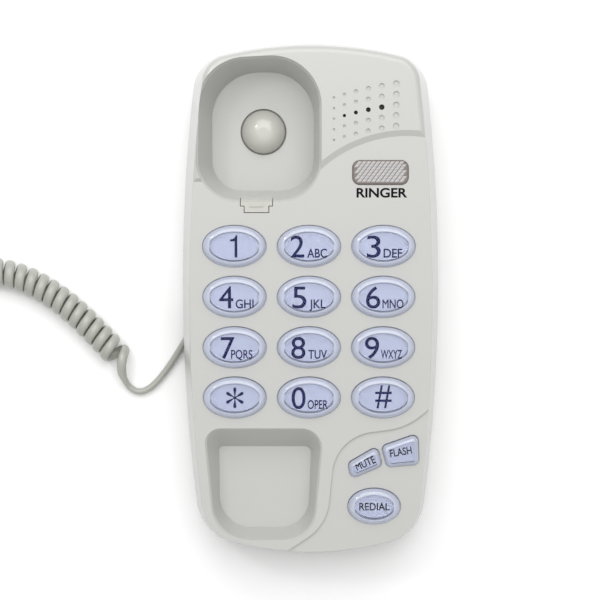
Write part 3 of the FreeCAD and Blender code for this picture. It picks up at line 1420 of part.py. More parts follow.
def hook_spring():
    """Spring between the hook board and the hook button's flange."""
    wire = size.spring_wire.value
    radius = size.spring_radius.value
    turns = size.spring_turns.value
    low = hook_board_top.value + wire / 2 + tiny
    high = hook_low.value - wire / 2 - tiny
    centre = Vector(size.hook_x.value, size.hook_y.value, 0)
    steps = int(4 * turns)
    points = []
    for step in range(steps + 1):
        phase = step * math.pi / 2
        rise = low + wire + (high - low - wire * 2) * step / steps
        spot = centre + Vector(radius * math.cos(phase), radius * math.sin(phase), rise)
        slope = (high - low - wire * 2) / turns / (2 * math.pi)
        heading = Vector(-radius * math.sin(phase), radius * math.cos(phase), slope).normalize()
        points.append((spot, heading))
    foot = points[0][0] - Vector(0, 1, 0) * wire * 3 - Vector(0, 0, wire)
    lead_in = (foot, foot + Vector(0, 1, 0) * wire)
    tip = points[-1][0] + Vector(0, 1, 0) * wire * 2 + Vector(0, 0, wire)
    lead_out = (tip, tip + Vector(0, 1, 0) * wire)
    shape = winding("hook_spring", points, lead_in, lead_out, wire)
    feature = doc.addObject("Part::Feature", "hook_spring")
    feature.Shape = shape
    feature.Placement = Placement(Vector(0, 0, size.face_height.value),
                                  Rotation(Vector(1, 0, 0), size.face_slope.value))
    keep("hook_spring", feature)


hook_spring()

# Checks and files

doc.recompute()
failed = [thing.Name for thing in doc.Objects if "Invalid" in thing.State or "Error" in thing.State]
for node, piece in parts.items():
    if piece.Shape.isNull() or not piece.Shape.isValid():
        failed.append(node)
if failed:
    raise RuntimeError("failed pieces: " + ", ".join(failed))
os.makedirs("parts", exist_ok=True)
for node, piece in parts.items():
    piece.Shape.exportStep("parts/%s.step" % node)
print(len(parts), "nodes written")
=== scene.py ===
# %% [markdown]
# # A corded telephone base, dressed and lit
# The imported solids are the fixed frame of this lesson. Every piece made here
# sits on them, in metres, with +Z up and +Y towards the rear of the phone.

# %% Load the solids
import json
import math

import bpy
from mathutils import Matrix, Vector


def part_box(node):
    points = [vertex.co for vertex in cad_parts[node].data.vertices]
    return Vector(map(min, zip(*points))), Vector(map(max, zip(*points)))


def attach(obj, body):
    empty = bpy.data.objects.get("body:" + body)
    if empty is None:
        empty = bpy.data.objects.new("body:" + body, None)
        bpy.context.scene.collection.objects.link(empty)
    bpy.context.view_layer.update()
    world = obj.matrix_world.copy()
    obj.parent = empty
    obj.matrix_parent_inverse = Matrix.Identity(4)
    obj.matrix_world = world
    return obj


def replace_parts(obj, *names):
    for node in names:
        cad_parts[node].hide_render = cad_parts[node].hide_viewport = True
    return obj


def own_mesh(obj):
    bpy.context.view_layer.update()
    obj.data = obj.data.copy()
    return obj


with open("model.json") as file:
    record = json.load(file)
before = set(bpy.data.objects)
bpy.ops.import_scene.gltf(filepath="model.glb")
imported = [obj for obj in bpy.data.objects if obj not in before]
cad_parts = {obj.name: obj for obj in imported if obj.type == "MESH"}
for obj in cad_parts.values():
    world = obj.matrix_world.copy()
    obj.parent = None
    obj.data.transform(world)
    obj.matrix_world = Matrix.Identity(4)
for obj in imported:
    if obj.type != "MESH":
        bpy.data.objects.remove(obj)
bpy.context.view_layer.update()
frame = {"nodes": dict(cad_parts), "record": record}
nodes = frame["nodes"]
MM = 0.001
DIGIT_KEYS = ["key_%s" % name for name in "1 2 3 4 5 6 7 8 9 star 0 hash".split()]
FUNCTION_KEYS = ["redial_key", "mute_key", "flash_key"]

# %% [markdown]
# ## Shared effects
# Moulded plastic is never quite even: the tool leaves a fine grain, and years
# of hands leave a cloudy change of gloss. Both are noise, so both live in one
# shader group that gives a cloud mask and a grain height. Each material says
# what the mask does to its own colour and gloss.


# %% Group with a cloud mask and a grain height
DETAIL = {"Cloud": 4.0, "Grain": 2.0}


def effect_group(name):
    group = bpy.data.node_groups.new(name, "ShaderNodeTree")
    face = group.interface
    for label in DETAIL:
        face.new_socket(label + " Scale", in_out="INPUT", socket_type="NodeSocketFloat")
        face.new_socket(label, in_out="OUTPUT", socket_type="NodeSocketFloat")
    source = group.nodes.new("NodeGroupInput")
    sink = group.nodes.new("NodeGroupOutput")
    place = group.nodes.new("ShaderNodeTexCoord")
    for label, detail in DETAIL.items():
        noise = group.nodes.new("ShaderNodeTexNoise")
        noise.inputs["Detail"].default_value = detail
        group.links.new(place.outputs["Object"], noise.inputs["Vector"])
        group.links.new(source.outputs[label + " Scale"], noise.inputs["Scale"])
        group.links.new(noise.outputs["Fac"], sink.inputs[label])
    return group


surface_effect = effect_group("moulded_surface")
print("group", surface_effect.name)

# %% [markdown]
# ## Finishes
# One table holds every finish: two near colours that the cloud mask mixes, the
# gloss at each end of the mask, the depth of the grain and the constants of
# the shader. Clear plastic lets light through to what lies under it, so its
# shadow is mostly see-through, as it is in a real clear cap.

# %% Finish table
IVORY = ((0.484, 0.486, 0.464), (0.486, 0.488, 0.466))
FINISHES = {
    "housing_ivory": (IVORY, (0.27, 0.29), 0.03, {"Coat Weight": 0.25, "Coat Roughness": 0.12}),
    "housing_under": (IVORY, (0.42, 0.52), 0.10, {}),
    "hook_ivory": (((0.490, 0.485, 0.445), (0.500, 0.495, 0.455)), (0.16, 0.22), 0.02,
                   {"Coat Weight": 0.4}),
    "key_clear": (((0.90, 0.91, 1.0), (0.93, 0.94, 1.0)), (0.03, 0.06), 0.0,
                  {"Transmission Weight": 1.0, "IOR": 1.25, "Specular IOR Level": 0.12}),
    # Painted light: the cap's own clear plastic made paler and less clear, standing in for the light its
    # round edge gathers.
    "key_rim": (((0.55, 0.585, 0.70), (0.59, 0.625, 0.74)), (0.05, 0.09), 0.0,
                {"Transmission Weight": 0.35, "Coat Weight": 0.6}),
    "legend_white": (((0.335, 0.360, 0.430), (0.350, 0.375, 0.445)), (0.45, 0.55), 0.0, {}),
    "spring_steel": (((0.55, 0.55, 0.55), (0.62, 0.62, 0.62)), (0.22, 0.32), 0.02, {"Metallic": 1.0}),
    "switch_black": (((0.030, 0.029, 0.028), (0.045, 0.044, 0.042)), (0.42, 0.55), 0.08, {}),
    "knob_black": (((0.032, 0.031, 0.030), (0.050, 0.048, 0.046)), (0.30, 0.42), 0.05, {}),
    "board_green": (((0.035, 0.15, 0.055), (0.05, 0.19, 0.07)), (0.25, 0.35), 0.03,
                    {"Coat Weight": 0.3}),
    "screw_steel": (((0.56, 0.55, 0.52), (0.66, 0.65, 0.61)), (0.25, 0.38), 0.04, {"Metallic": 1.0}),
    "lens_smoke": (((0.15, 0.125, 0.115), (0.19, 0.160, 0.145)), (0.08, 0.14), 0.0,
                   {"Coat Weight": 0.6}),
    "lamp_glass": (((0.95, 0.82, 0.72), (0.98, 0.88, 0.80)), (0.05, 0.08), 0.0,
                   {"Transmission Weight": 0.9}),
    "mat_rubber": (((0.60, 0.60, 0.57), (0.66, 0.66, 0.63)), (0.60, 0.72), 0.10, {}),
    "ballast_steel": (((0.24, 0.24, 0.25), (0.31, 0.31, 0.32)), (0.45, 0.60), 0.08, {"Metallic": 0.6}),
    "feet_rubber": (((0.055, 0.055, 0.055), (0.08, 0.08, 0.08)), (0.65, 0.80), 0.12, {}),
    "jack_grey": (((0.40, 0.40, 0.38), (0.45, 0.45, 0.42)), (0.35, 0.45), 0.05, {}),
    "plug_clear": (((0.90, 0.90, 0.87), (0.94, 0.94, 0.91)), (0.05, 0.10), 0.0,
                   {"Transmission Weight": 0.85}),
    "cord_ivory": (((0.375, 0.380, 0.340), (0.395, 0.400, 0.360)), (0.26, 0.36), 0.02,
                   {"Coat Weight": 0.2}),
}
CLOUD_SCALE = 26.0
GRAIN_SCALE = 1500.0
GRAIN_DEPTH = 0.0002
CLEAR_SHADOW = 0.92
MIX_FIRST, MIX_SECOND, MIX_RESULT = 6, 7, 2


def shade_through(tree, shader, output):
    """Let most light pass a clear solid on its way to what lies under it."""
    clear = tree.nodes.new("ShaderNodeBsdfTransparent")
    path = tree.nodes.new("ShaderNodeLightPath")
    share = tree.nodes.new("ShaderNodeMath")
    share.operation = "MULTIPLY"
    share.inputs[1].default_value = CLEAR_SHADOW
    mix = tree.nodes.new("ShaderNodeMixShader")
    tree.links.new(path.outputs["Is Shadow Ray"], share.inputs[0])
    tree.links.new(share.outputs["Value"], mix.inputs["Fac"])
    tree.links.new(shader.outputs["BSDF"], mix.inputs[1])
    tree.links.new(clear.outputs["BSDF"], mix.inputs[2])
    tree.links.new(mix.outputs["Shader"], output.inputs["Surface"])


def finish_material(name, colours, gloss, grain, constants):
    material = bpy.data.materials.new(name)
    material.use_nodes = True
    tree = material.node_tree
    shader = tree.nodes["Principled BSDF"]
    for label, value in constants.items():
        shader.inputs[label].default_value = value
    effect = tree.nodes.new("ShaderNodeGroup")
    effect.node_tree = surface_effect
    effect.inputs["Cloud Scale"].default_value = CLOUD_SCALE
    effect.inputs["Grain Scale"].default_value = GRAIN_SCALE
    mix = tree.nodes.new("ShaderNodeMix")
    mix.data_type = "RGBA"
    mix.inputs[MIX_FIRST].default_value = (*colours[0], 1.0)
    mix.inputs[MIX_SECOND].default_value = (*colours[1], 1.0)
    spread = tree.nodes.new("ShaderNodeMapRange")
    spread.inputs["To Min"].default_value = gloss[0]
    spread.inputs["To Max"].default_value = gloss[1]
    tree.links.new(effect.outputs["Cloud"], mix.inputs["Factor"])
    tree.links.new(effect.outputs["Cloud"], spread.inputs["Value"])
    tree.links.new(mix.outputs[MIX_RESULT], shader.inputs["Base Color"])
    tree.links.new(spread.outputs["Result"], shader.inputs["Roughness"])
    if grain:
        bump = tree.nodes.new("ShaderNodeBump")
        bump.inputs["Strength"].default_value = grain
        bump.inputs["Distance"].default_value = GRAIN_DEPTH
        tree.links.new(effect.outputs["Grain"], bump.inputs["Height"])
        tree.links.new(bump.outputs["Normal"], shader.inputs["Normal"])
    if "Transmission Weight" in constants:
        shade_through(tree, shader, tree.nodes["Material Output"])
    return material


materials = {slot: finish_material(slot, *spec) for slot, spec in FINISHES.items()}
slot_of = {entry["node"]: entry["material_slot"] for entry in frame["record"]["subparts"]}
for node, solid in nodes.items():
    solid.data.materials.clear()
    solid.data.materials.append(materials[slot_of[node]])
print("materials", len(materials))

# %% [markdown]
# ## Key caps
# A clear cap shows its pale card through its flat top, while its round edge
# gathers light and looks pale. One clear finish can't show both, so a cap is
# copied from its solid, and the faces that aren't over the card get the rim's
# finish: a paler, less clear copy of the cap's plastic, which is painted light
# for the glow of the round edge. A ray straight into the cap tells which faces those are.

# %% Face frame
FACE_TILT = math.radians(5)
FACE_HEIGHT = 41.0
face_frame = Matrix.Translation((0, 0, FACE_HEIGHT * MM)) @ Matrix.Rotation(FACE_TILT, 4, "X")
face_back = face_frame.inverted()
INTO_FACE = face_frame.to_3x3() @ Vector((0, 0, -1))


# %% Add a piece that rides a body
def add(name, data, body):
    piece = bpy.data.objects.new(name, data)
    bpy.context.scene.collection.objects.link(piece)
    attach(piece, body)
    return piece


# %% Caps with two finishes
RAY_START = 0.02
CLEAR, RIM = 0, 1
for key in DIGIT_KEYS + FUNCTION_KEYS:
    mesh = nodes[key].data.copy()
    mesh.materials.clear()
    mesh.materials.append(materials["key_clear"])
    # The second finish is the rim's painted light.
    mesh.materials.append(materials["key_rim"])
    card = nodes[key + "_legend_pad"]
    for face in mesh.polygons:
        over_card = card.ray_cast(face.center - INTO_FACE * RAY_START, INTO_FACE)[0]
        face.material_index = CLEAR if over_card else RIM
    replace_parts(add(key + "_cap", mesh, key), key)
print("caps", len(DIGIT_KEYS + FUNCTION_KEYS))

# %% [markdown]
# ## Spring and domes, each with a mesh of its own
# The spring under the hook shortens as the hook goes down, and each rubber
# dome of the mat folds under its key. Both are copied from their solids into
# pieces with meshes of their own.

# %% Give a piece its own mesh
OUT_OF_FACE = -INTO_FACE
LEVEL_STEP = 0.00001


def level(spot):
    return spot.dot(OUT_OF_FACE)


def give_way(piece):
    """Give a piece a mesh of its own."""
    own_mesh(piece)


# %% Spring
coil = add("hook_coil", nodes["hook_spring"].data.copy(), "base")
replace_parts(coil, "hook_spring")
give_way(coil)


# %% Domes of the mat
def some_faces(name, mesh, chosen):
    """New mesh from chosen faces of a mesh, with its first material."""
    used = sorted({corner for face in chosen for corner in face.vertices})
    place = {corner: number for number, corner in enumerate(used)}
    part = bpy.data.meshes.new(name)
    part.from_pydata([mesh.vertices[corner].co for corner in used], [],
                     [[place[corner] for corner in face.vertices] for face in chosen])
    part.materials.append(mesh.materials[0])
    return part


mat = nodes["keypad_mat"].data
mat_levels = sorted({round(level(vertex.co) / LEVEL_STEP) for vertex in mat.vertices})
web_top = mat_levels[1] * LEVEL_STEP
middles = {key: sum(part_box(key), Vector()) / 2 for key in DIGIT_KEYS + FUNCTION_KEYS}
domes = {key: [] for key in middles}
web = []
for face in mat.polygons:
    if level(face.center) > web_top + LEVEL_STEP:
        nearest = min(middles, key=lambda key: (middles[key].xy - face.center.xy).length)
        domes[nearest].append(face)
    else:
        web.append(face)
web_mesh = some_faces("keypad_mat_web", mat, web)
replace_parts(add("keypad_mat_web", web_mesh, "base"), "keypad_mat")
for key, chosen in domes.items():
    name = key + "_dome"
    give_way(add(name, some_faces(name, mat, chosen), "base"))
print("web faces", len(web), "dome faces", [len(chosen) for chosen in domes.values()])

# %% [markdown]
# ## Legends
# The digits, letters and words are printed on pale cards under the clear
# caps. A printed legend is a flat film of ink, so each is a text outline with
# almost no thickness, lying on its card and riding with its key. The plain
# font's figure one has no flag, so that figure is drawn corner by corner.

# %% Ink
NAVY = ((0.006, 0.008, 0.050), (0.008, 0.010, 0.060))
BLACK = ((0.008, 0.008, 0.010), (0.012, 0.012, 0.014))
INK_GLOSS = (0.45, 0.55)
MATT = {"Specular IOR Level": 0.0}
ink_navy = finish_material("ink_navy", NAVY, INK_GLOSS, 0.0, MATT)
ink_black = finish_material("ink_black", BLACK, INK_GLOSS, 0.0, MATT)
CAPITAL_SHARE = 0.70
INK_DEPTH = 0.00001
INK_FLAT = 0.1


def on_face(place, tilt):
    turn = Matrix.Rotation(math.radians(tilt), 4, "Z")
    return face_frame @ Matrix.Translation(Vector(place) * MM) @ turn


def legend(name, words, height, span, place, tilt, body, ink, weight):
    """Ink words with capitals of a height and a span in mm, centred at a place on the face."""
    curve = bpy.data.curves.new(name, "FONT")
    curve.body = words
    curve.size = height / CAPITAL_SHARE * MM
    curve.align_x = "CENTER"
    curve.align_y = "BOTTOM_BASELINE"
    curve.extrude = INK_DEPTH
    curve.bevel_depth = weight * MM
    curve.bevel_resolution = 0
    curve.materials.append(ink)
    piece = bpy.data.objects.new(name, curve)
    bpy.context.scene.collection.objects.link(piece)
    bpy.context.view_layer.update()
    stretch = span * MM / piece.dimensions.x
    piece.matrix_world = on_face(place, tilt) @ Matrix.Diagonal((stretch, 1.0, INK_FLAT, 1.0))
    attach(piece, body)


# %% Print the dialling keys
COLUMNS = (-30.4, -0.8, 28.8)
ROWS = (20.7, 0.5, -19.7, -39.9)
CARD_TOP = 0.53
DIGIT_HEIGHT = 8.8
LETTER_HEIGHT = 3.5
BASELINE = -4.4
DIGIT_WEIGHT = 0.03
LETTER_WEIGHT = 0.07
LEGENDS = (
    ("1", 0.0, 3.0, "", 0, 0), ("2", -4.6, 5.5, "ABC", -0.6, 7.9), ("3", -3.8, 5.5, "DEF", -0.1, 7.4),
    ("4", -3.2, 5.7, "GHI", 0.5, 7.2), ("5", -3.7, 5.6, "JKL", 0.3, 6.5), ("6", -4.1, 5.7, "MNO", -0.4, 8.4),
    ("7", -3.0, 5.6, "PQRS", -1.5, 8.5), ("8", -4.2, 5.7, "TUV", -0.3, 7.5),
    ("9", -4.4, 5.7, "WXYZ", -0.9, 8.5), ("*", 0.0, 7.0, "", 0, 0), ("0", -4.1, 5.6, "OPER", -0.6, 8.1),
    ("#", 0.2, 6.6, "", 0, 0),
)
LOWERED = {"*": (13.0, -9.3), "#": (9.2, -3.1)}
ONE_CORNERS = ((1.2, 0), (1.2, 8.8), (0.55, 8.8), (0.2, 7.9), (-0.5, 7.35), (-1.7, 7.15), (-1.7, 6.4),
               (0.1, 6.4), (0.1, 0))
for index, (key, entry) in enumerate(zip(DIGIT_KEYS, LEGENDS)):
    digit, shift, width, letters, left, span = entry
    x, y = COLUMNS[index % len(COLUMNS)], ROWS[index // len(COLUMNS)]
    if digit == "1":
        figure = bpy.data.meshes.new(key + "_digit")
        corners = [on_face((x + a, y + BASELINE + b, CARD_TOP), 0).translation for a, b in ONE_CORNERS]
        figure.from_pydata(corners, [], [tuple(range(len(corners)))])
        figure.materials.append(ink_navy)
        add(key + "_digit", figure, key)
        continue
    height, low = LOWERED.get(digit, (DIGIT_HEIGHT, BASELINE))
    legend(key + "_digit", digit, height, width, (x + shift, y + low, CARD_TOP), 0, key, ink_navy,
           DIGIT_WEIGHT)
    if letters:
        place = (x + left + span / 2, y + BASELINE, CARD_TOP)
        legend(key + "_letters", letters, LETTER_HEIGHT, span, place, 0, key, ink_navy,
               LETTER_WEIGHT)
print("dialling legends", len(LEGENDS))

# %% Print the function keys
FUNCTION_CARD_TOP = -0.47
FUNCTION_HEIGHT = 3.0
FUNCTION_WORDS = (("redial_key", "REDIAL", 0, 12.2), ("mute_key", "MUTE", 24, 8.2),
                  ("flash_key", "FLASH", 10, 8.8))
for key, words, tilt, span in FUNCTION_WORDS:
    low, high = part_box(key + "_legend_pad")
    centre = face_back @ ((low + high) / 2) / MM
    slant = math.radians(tilt)
    drop = Vector((math.sin(slant), -math.cos(slant))) * FUNCTION_HEIGHT / 2
    place = (centre.x + drop.x, centre.y + drop.y, FUNCTION_CARD_TOP)
    legend(key + "_words", words, FUNCTION_HEIGHT, span, place, tilt, key, ink_black,
           LETTER_WEIGHT)
print("function legends", FUNCTION_KEYS)

# %% [markdown]
# ## Ringer window
# The lens over the ringer lamp has a hatched face of small pyramids that
# spreads the lamp's light. A slanted grid of cells, each with a raised middle,
# makes such a knurl. The word under it is stamped on the shell.


# %% Find the surface of a solid from above
LOOK_FROM = 200.0


def surface_below(node, x, y):
    """Place on the face, in mm, of what lies under a point."""
    spot = nodes[node].ray_cast(Vector((x, y, LOOK_FROM)) * MM, Vector((0, 0, -1)))[1]
    return face_back @ spot / MM


# %% Knurl the lens
KNURL_HALF = Vector((10.7, 4.2))
KNURL_ACROSS = Vector((1.85, 0))
KNURL_SLANT = Vector((0.89, 1.17))
KNURL_HEIGHT = 0.35
KNURL_WIDE = 0.38
KNURL_LONG = 0.47
KNURL_ROWS = 3
KNURL_COLUMNS = 8
KNURL_LIFT = 0.01
low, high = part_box("ringer_lens")
lens_centre = surface_below("ringer_lens", (low.x + high.x) / 2 / MM, (low.y + high.y) / 2 / MM)
reach = KNURL_ACROSS * KNURL_WIDE + KNURL_SLANT * KNURL_LONG
turned = KNURL_ACROSS * KNURL_WIDE - KNURL_SLANT * KNURL_LONG
points, faces = [], []
for row in range(-KNURL_ROWS, KNURL_ROWS + 1):
    for column in range(-KNURL_COLUMNS, KNURL_COLUMNS + 1):
        middle = KNURL_ACROSS * column + KNURL_SLANT * row
        if abs(middle.x) + reach.x > KNURL_HALF.x or abs(middle.y) + reach.y > KNURL_HALF.y:
            continue
        start = len(points)
        rhomb = (middle + reach, middle - turned, middle - reach, middle + turned)
        points += [(*corner, 0) for corner in rhomb]
        points.append((*middle, KNURL_HEIGHT))
        faces += [(start + side, start + (side + 1) % 4, start + 4) for side in range(4)]
        faces.append((start + 3, start + 2, start + 1, start))
knurl_mesh = bpy.data.meshes.new("ringer_knurl")
knurl_mesh.from_pydata([Vector(point) * MM for point in points], [], faces)
knurl = bpy.data.objects.new("ringer_knurl", knurl_mesh)
bpy.context.scene.collection.objects.link(knurl)
knurl.matrix_world = on_face(lens_centre + Vector((0, 0, KNURL_LIFT)), 0)
KNURL = ((0.46, 0.45, 0.45), (0.56, 0.55, 0.55))
KNURL_GLOSS = (0.08, 0.16)
knurl_mesh.materials.append(finish_material("lens_knurl", KNURL, KNURL_GLOSS, 0.0, {"Coat Weight": 0.7}))
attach(knurl, "base")
print("knurl points", len(points))

# %% Stamp the word
WORD_PLACE = (27.8, 40.0)
WORD_LIFT = 0.02
WORD_HEIGHT = 3.6
WORD_SPAN = 20.1
WORD_WEIGHT = 0.14
word_spot = surface_below("top_housing", *WORD_PLACE) + Vector((0, 0, WORD_LIFT))
legend("ringer_word", "RINGER", WORD_HEIGHT, WORD_SPAN, word_spot, 0, "base", ink_black,
       WORD_WEIGHT)
print("word at", word_spot)

# %% [markdown]
# ## Curly cord
# The handset cord is a flat ribbon wound into a helix and set with heat. Its
# route is a smooth curve through a few chosen points: a tail from the plug in
# the left wall, the axis of the curls, and the end that goes into its plug.
# The helix runs about the axis, and a flat oval is swept along it.

# %% Routes
TAIL = ((-44.7, -12.5, 8.6), (-48.6, -12.5, 8.6), (-52.0, -16.6, 4.9), (-56.2, -23.6, 2.4),
        (-60.7, -30.4, 1.9), (-65.6, -36.4, 1.9), (-70.6, -39.6, 1.9), (-75.2, -38.6, 2.1),
        (-77.6, -35.6, 2.9))
AXIS = ((-76, -29, 6.4), (-90, -13.6, 6.4), (-105, 0.2, 6.4), (-122, 9.8, 6.4), (-140, 12.4, 6.4),
        (-154, 6.6, 6.4), (-163, -6, 6.4), (-166, -24, 6.4), (-165, -44, 6.4), (-163, -64, 6.4),
        (-160.5, -84, 6.4), (-159.5, -100, 6.4))
END = ((-159.6, -108, 1.9), (-159.6, -111.6, 1.9), (-159.6, -116.6, 1.9), (-159.0, -121.8, 3.0),
       (-159.0, -126.4, 3.0))
ROUTE_STEPS = 24
ROUTE_ORDER = 3


def route(name, places):
    curve = bpy.data.curves.new(name, "CURVE")
    curve.dimensions = "3D"
    curve.resolution_u = ROUTE_STEPS
    spline = curve.splines.new("NURBS")
    spline.points.add(len(places) - 1)
    for point, place in zip(spline.points, places):
        point.co = (*(Vector(place) * MM), 1.0)
    spline.order_u = ROUTE_ORDER
    spline.use_endpoint_u = True
    guide = bpy.data.objects.new(name, curve)
    mesh = bpy.data.meshes.new_from_object(guide)
    line = [vertex.co.copy() for vertex in mesh.vertices]
    bpy.data.objects.remove(guide)
    return line


def along(line, distance):
    """Place and heading at a distance along a line of points."""
    for start, end in zip(line, line[1:]):
        step = (end - start).length
        if distance <= step or end is line[-1]:
            heading = (end - start).normalized()
            return start + heading * distance, heading
        distance -= step


tail_line = route("tail_route", TAIL)
axis_line = route("axis_route", AXIS)
end_line = route("end_route", END)
print("route points", len(tail_line), len(axis_line), len(end_line))

# %% Helix about the axis
COIL_RADIUS = 4.6 * MM
PITCH = 4.75 * MM
TURNS = 40.5
PER_TURN = 20
OPEN_TURN = 1.6
START_PHASE = math.radians(20)
START_DISTANCE = 3.0 * MM
UP = Vector((0, 0, 1))
ROUND, FLAT = 0.0, 1.0
centreline = [(spot, UP, ROUND) for spot in tail_line]
distance = START_DISTANCE
for step in range(int(TURNS * PER_TURN) + 1):
    phase = START_PHASE + step * 2 * math.pi / PER_TURN
    spot, heading = along(axis_line, distance)
    left = Vector((-heading.y, heading.x, 0)).normalized()
    radial = left * math.cos(phase) + UP * math.sin(phase)
    centreline.append((spot + radial * COIL_RADIUS, heading, FLAT))
    distance += PITCH / PER_TURN * (OPEN_TURN if step < PER_TURN else 1.0)
centreline += [(spot, UP, ROUND) for spot in end_line]
places = [entry[0] for entry in centreline]
sides = [entry[1] for entry in centreline]
flat = [entry[2] for entry in centreline]

# %% Smooth the two places where a tail meets the curls
SMOOTH_ROUNDS = 24
SMOOTH_REACH = 10
for meeting in (len(tail_line), len(places) - len(end_line)):
    window = range(meeting - SMOOTH_REACH, min(meeting + SMOOTH_REACH, len(places) - 2))
    for turn in range(SMOOTH_ROUNDS):
        for values in (places, sides, flat):
            eased = [(values[i - 1] + values[i] * 2 + values[i + 1]) / 4 for i in window]
            values[window.start:window.stop] = eased

# %% Sweep the ribbon
RIBBON_WIDTH = 4.1 * MM
TAIL_WIDTH = 3.6 * MM
RIBBON_THICKNESS = 2.5 * MM
TAIL_THICKNESS = 2.7 * MM
SIDES = 12
points, faces = [], []
for i, spot in enumerate(places):
    heading = (places[min(i + 1, len(places) - 1)] - places[max(i - 1, 0)]).normalized()
    across = (sides[i] - heading * sides[i].dot(heading)).normalized()
    outward = heading.cross(across)
    width = TAIL_WIDTH + (RIBBON_WIDTH - TAIL_WIDTH) * flat[i]
    thickness = TAIL_THICKNESS + (RIBBON_THICKNESS - TAIL_THICKNESS) * flat[i]
    for side in range(SIDES):
        angle = 2 * math.pi * side / SIDES
        sideways = across * (math.cos(angle) * width / 2)
        points.append(spot + sideways + outward * (math.sin(angle) * thickness / 2))
for ring in range(len(places) - 1):
    for side in range(SIDES):
        a = ring * SIDES + side
        b = ring * SIDES + (side + 1) % SIDES
        faces.append((a, b, b + SIDES, a + SIDES))
faces.append(tuple(reversed(range(SIDES))))
faces.append(tuple(range(len(points) - SIDES, len(points))))
cord_mesh = bpy.data.meshes.new("handset_cord")
cord_mesh.from_pydata(points, [], faces)
for face in cord_mesh.polygons:
    face.use_smooth = len(face.vertices) == 4
cord = bpy.data.objects.new("handset_cord", cord_mesh)
bpy.context.scene.collection.objects.link(cord)
cord_mesh.materials.append(materials["cord_ivory"])
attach(cord, "base")
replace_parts(cord, "cord_tail", "cord_curls", "cord_end")
print("cord faces", len(faces))

# %% Contacts of the free plug
PLUG_TOP = 6.0
CONTACT_COUNT = 4
CONTACT_PITCH = 1.2
CONTACT_SIZE = (0.5, 3.6, 0.3)
CONTACT_SETBACK = 0.6
BOX_FACES = ((0, 1, 3, 2), (4, 6, 7, 5), (0, 4, 5, 1), (2, 3, 7, 6), (0, 2, 6, 4), (1, 5, 7, 3))
low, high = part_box("cord_far_plug")
corner_signs = [(a, b, c) for a in (-0.5, 0.5) for b in (-0.5, 0.5) for c in (-0.5, 0.5)]
contact_points, contact_faces = [], []
contact_y = low.y / MM + CONTACT_SIZE[1] / 2 + CONTACT_SETBACK
for number in range(CONTACT_COUNT):
    shift = (number - (CONTACT_COUNT - 1) / 2) * CONTACT_PITCH
    middle = Vector(((low.x + high.x) / 2 / MM + shift, contact_y, PLUG_TOP))
    start = len(contact_points)
    contact_points += [(middle + Vector([sign * side for sign, side in zip(signs, CONTACT_SIZE)])) * MM
                       for signs in corner_signs]
    contact_faces += [tuple(start + corner for corner in corners) for corners in BOX_FACES]
contact_mesh = bpy.data.meshes.new("plug_contacts")
contact_mesh.from_pydata(contact_points, [], contact_faces)
GILT = ((0.70, 0.47, 0.16), (0.78, 0.55, 0.22))
GILT_GLOSS = (0.22, 0.32)
contact_mesh.materials.append(finish_material("contact_gilt", GILT, GILT_GLOSS, 0.0, {"Metallic": 1.0}))
contacts = add("plug_contacts", contact_mesh, "base")
print("contacts", CONTACT_COUNT)

# %% [markdown]
# ## Floor, light and camera
# The phone lies on a plain white table under a large soft light from the rear,
# a soft fill from above and a small lamp on the left, which gives the glossy
# plastic its bright points. The camera hangs straight above in a white room.

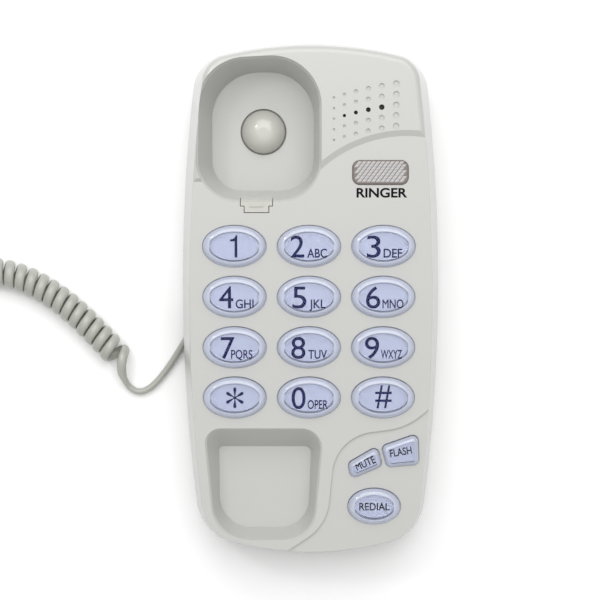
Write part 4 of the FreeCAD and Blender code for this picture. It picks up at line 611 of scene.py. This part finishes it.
# %% Floor
FLOOR_HALF = 4.0
PAPER = (0.95, 0.95, 0.95, 1.0)
PAPER_ROUGHNESS = 0.9
PAPER_GLOSS = 0.1
floor_mesh = bpy.data.meshes.new("floor")
corners = [(-FLOOR_HALF, -FLOOR_HALF, 0), (FLOOR_HALF, -FLOOR_HALF, 0), (FLOOR_HALF, FLOOR_HALF, 0),
           (-FLOOR_HALF, FLOOR_HALF, 0)]
floor_mesh.from_pydata(corners, [], [(0, 1, 2, 3)])
floor = bpy.data.objects.new("floor", floor_mesh)
bpy.context.scene.collection.objects.link(floor)
paper = bpy.data.materials.new("paper")
paper.use_nodes = True
paper_shader = paper.node_tree.nodes["Principled BSDF"]
paper_shader.inputs["Base Color"].default_value = PAPER
paper_shader.inputs["Roughness"].default_value = PAPER_ROUGHNESS
paper_shader.inputs["Specular IOR Level"].default_value = PAPER_GLOSS
floor_mesh.materials.append(paper)
print("floor", floor.name)

# %% White room
ROOM_LIGHT = 0.55
ROOM_SEEN = 1.0
WHITE = (1.0, 1.0, 1.0, 1.0)
world = bpy.data.worlds.new("room")
bpy.context.scene.world = world
world.use_nodes = True
tree = world.node_tree
lit = tree.nodes["Background"]
lit.inputs["Color"].default_value = WHITE
lit.inputs["Strength"].default_value = ROOM_LIGHT
seen = tree.nodes.new("ShaderNodeBackground")
seen.inputs["Color"].default_value = WHITE
seen.inputs["Strength"].default_value = ROOM_SEEN
path = tree.nodes.new("ShaderNodeLightPath")
mix = tree.nodes.new("ShaderNodeMixShader")
tree.links.new(path.outputs["Is Camera Ray"], mix.inputs["Fac"])
tree.links.new(lit.outputs["Background"], mix.inputs[1])
tree.links.new(seen.outputs["Background"], mix.inputs[2])
tree.links.new(mix.outputs["Shader"], tree.nodes["World Output"].inputs["Surface"])
bpy.context.scene.view_settings.view_transform = "Standard"

# %% Lights
LIGHTS = (("key_light", (0.00, 0.46, 0.82), 0.90, 6.2),
          ("fill_light", (0.10, -0.10, 1.40), 1.40, 4.4),
          ("spark_light", (-0.37, 0.26, 0.66), 0.09, 0.5))
for name, spot, width, power in LIGHTS:
    lamp = bpy.data.lights.new(name, "AREA")
    lamp.size = width
    lamp.energy = power
    light = bpy.data.objects.new(name, lamp)
    bpy.context.scene.collection.objects.link(light)
    light.location = spot
    light.rotation_euler = (-Vector(spot)).to_track_quat("-Z", "Y").to_euler()
print("lights", len(LIGHTS))

# %% Camera
CAMERA_PLACE = (-4.34, -0.72, 716.0)
SENSOR_WIDTH = 36.0
FOCAL_LENGTH = 101.7
lens = bpy.data.cameras.new("camera")
lens.sensor_width = SENSOR_WIDTH
lens.lens = FOCAL_LENGTH
camera = bpy.data.objects.new("camera", lens)
bpy.context.scene.collection.objects.link(camera)
camera.location = Vector(CAMERA_PLACE) * MM
bpy.context.scene.camera = camera
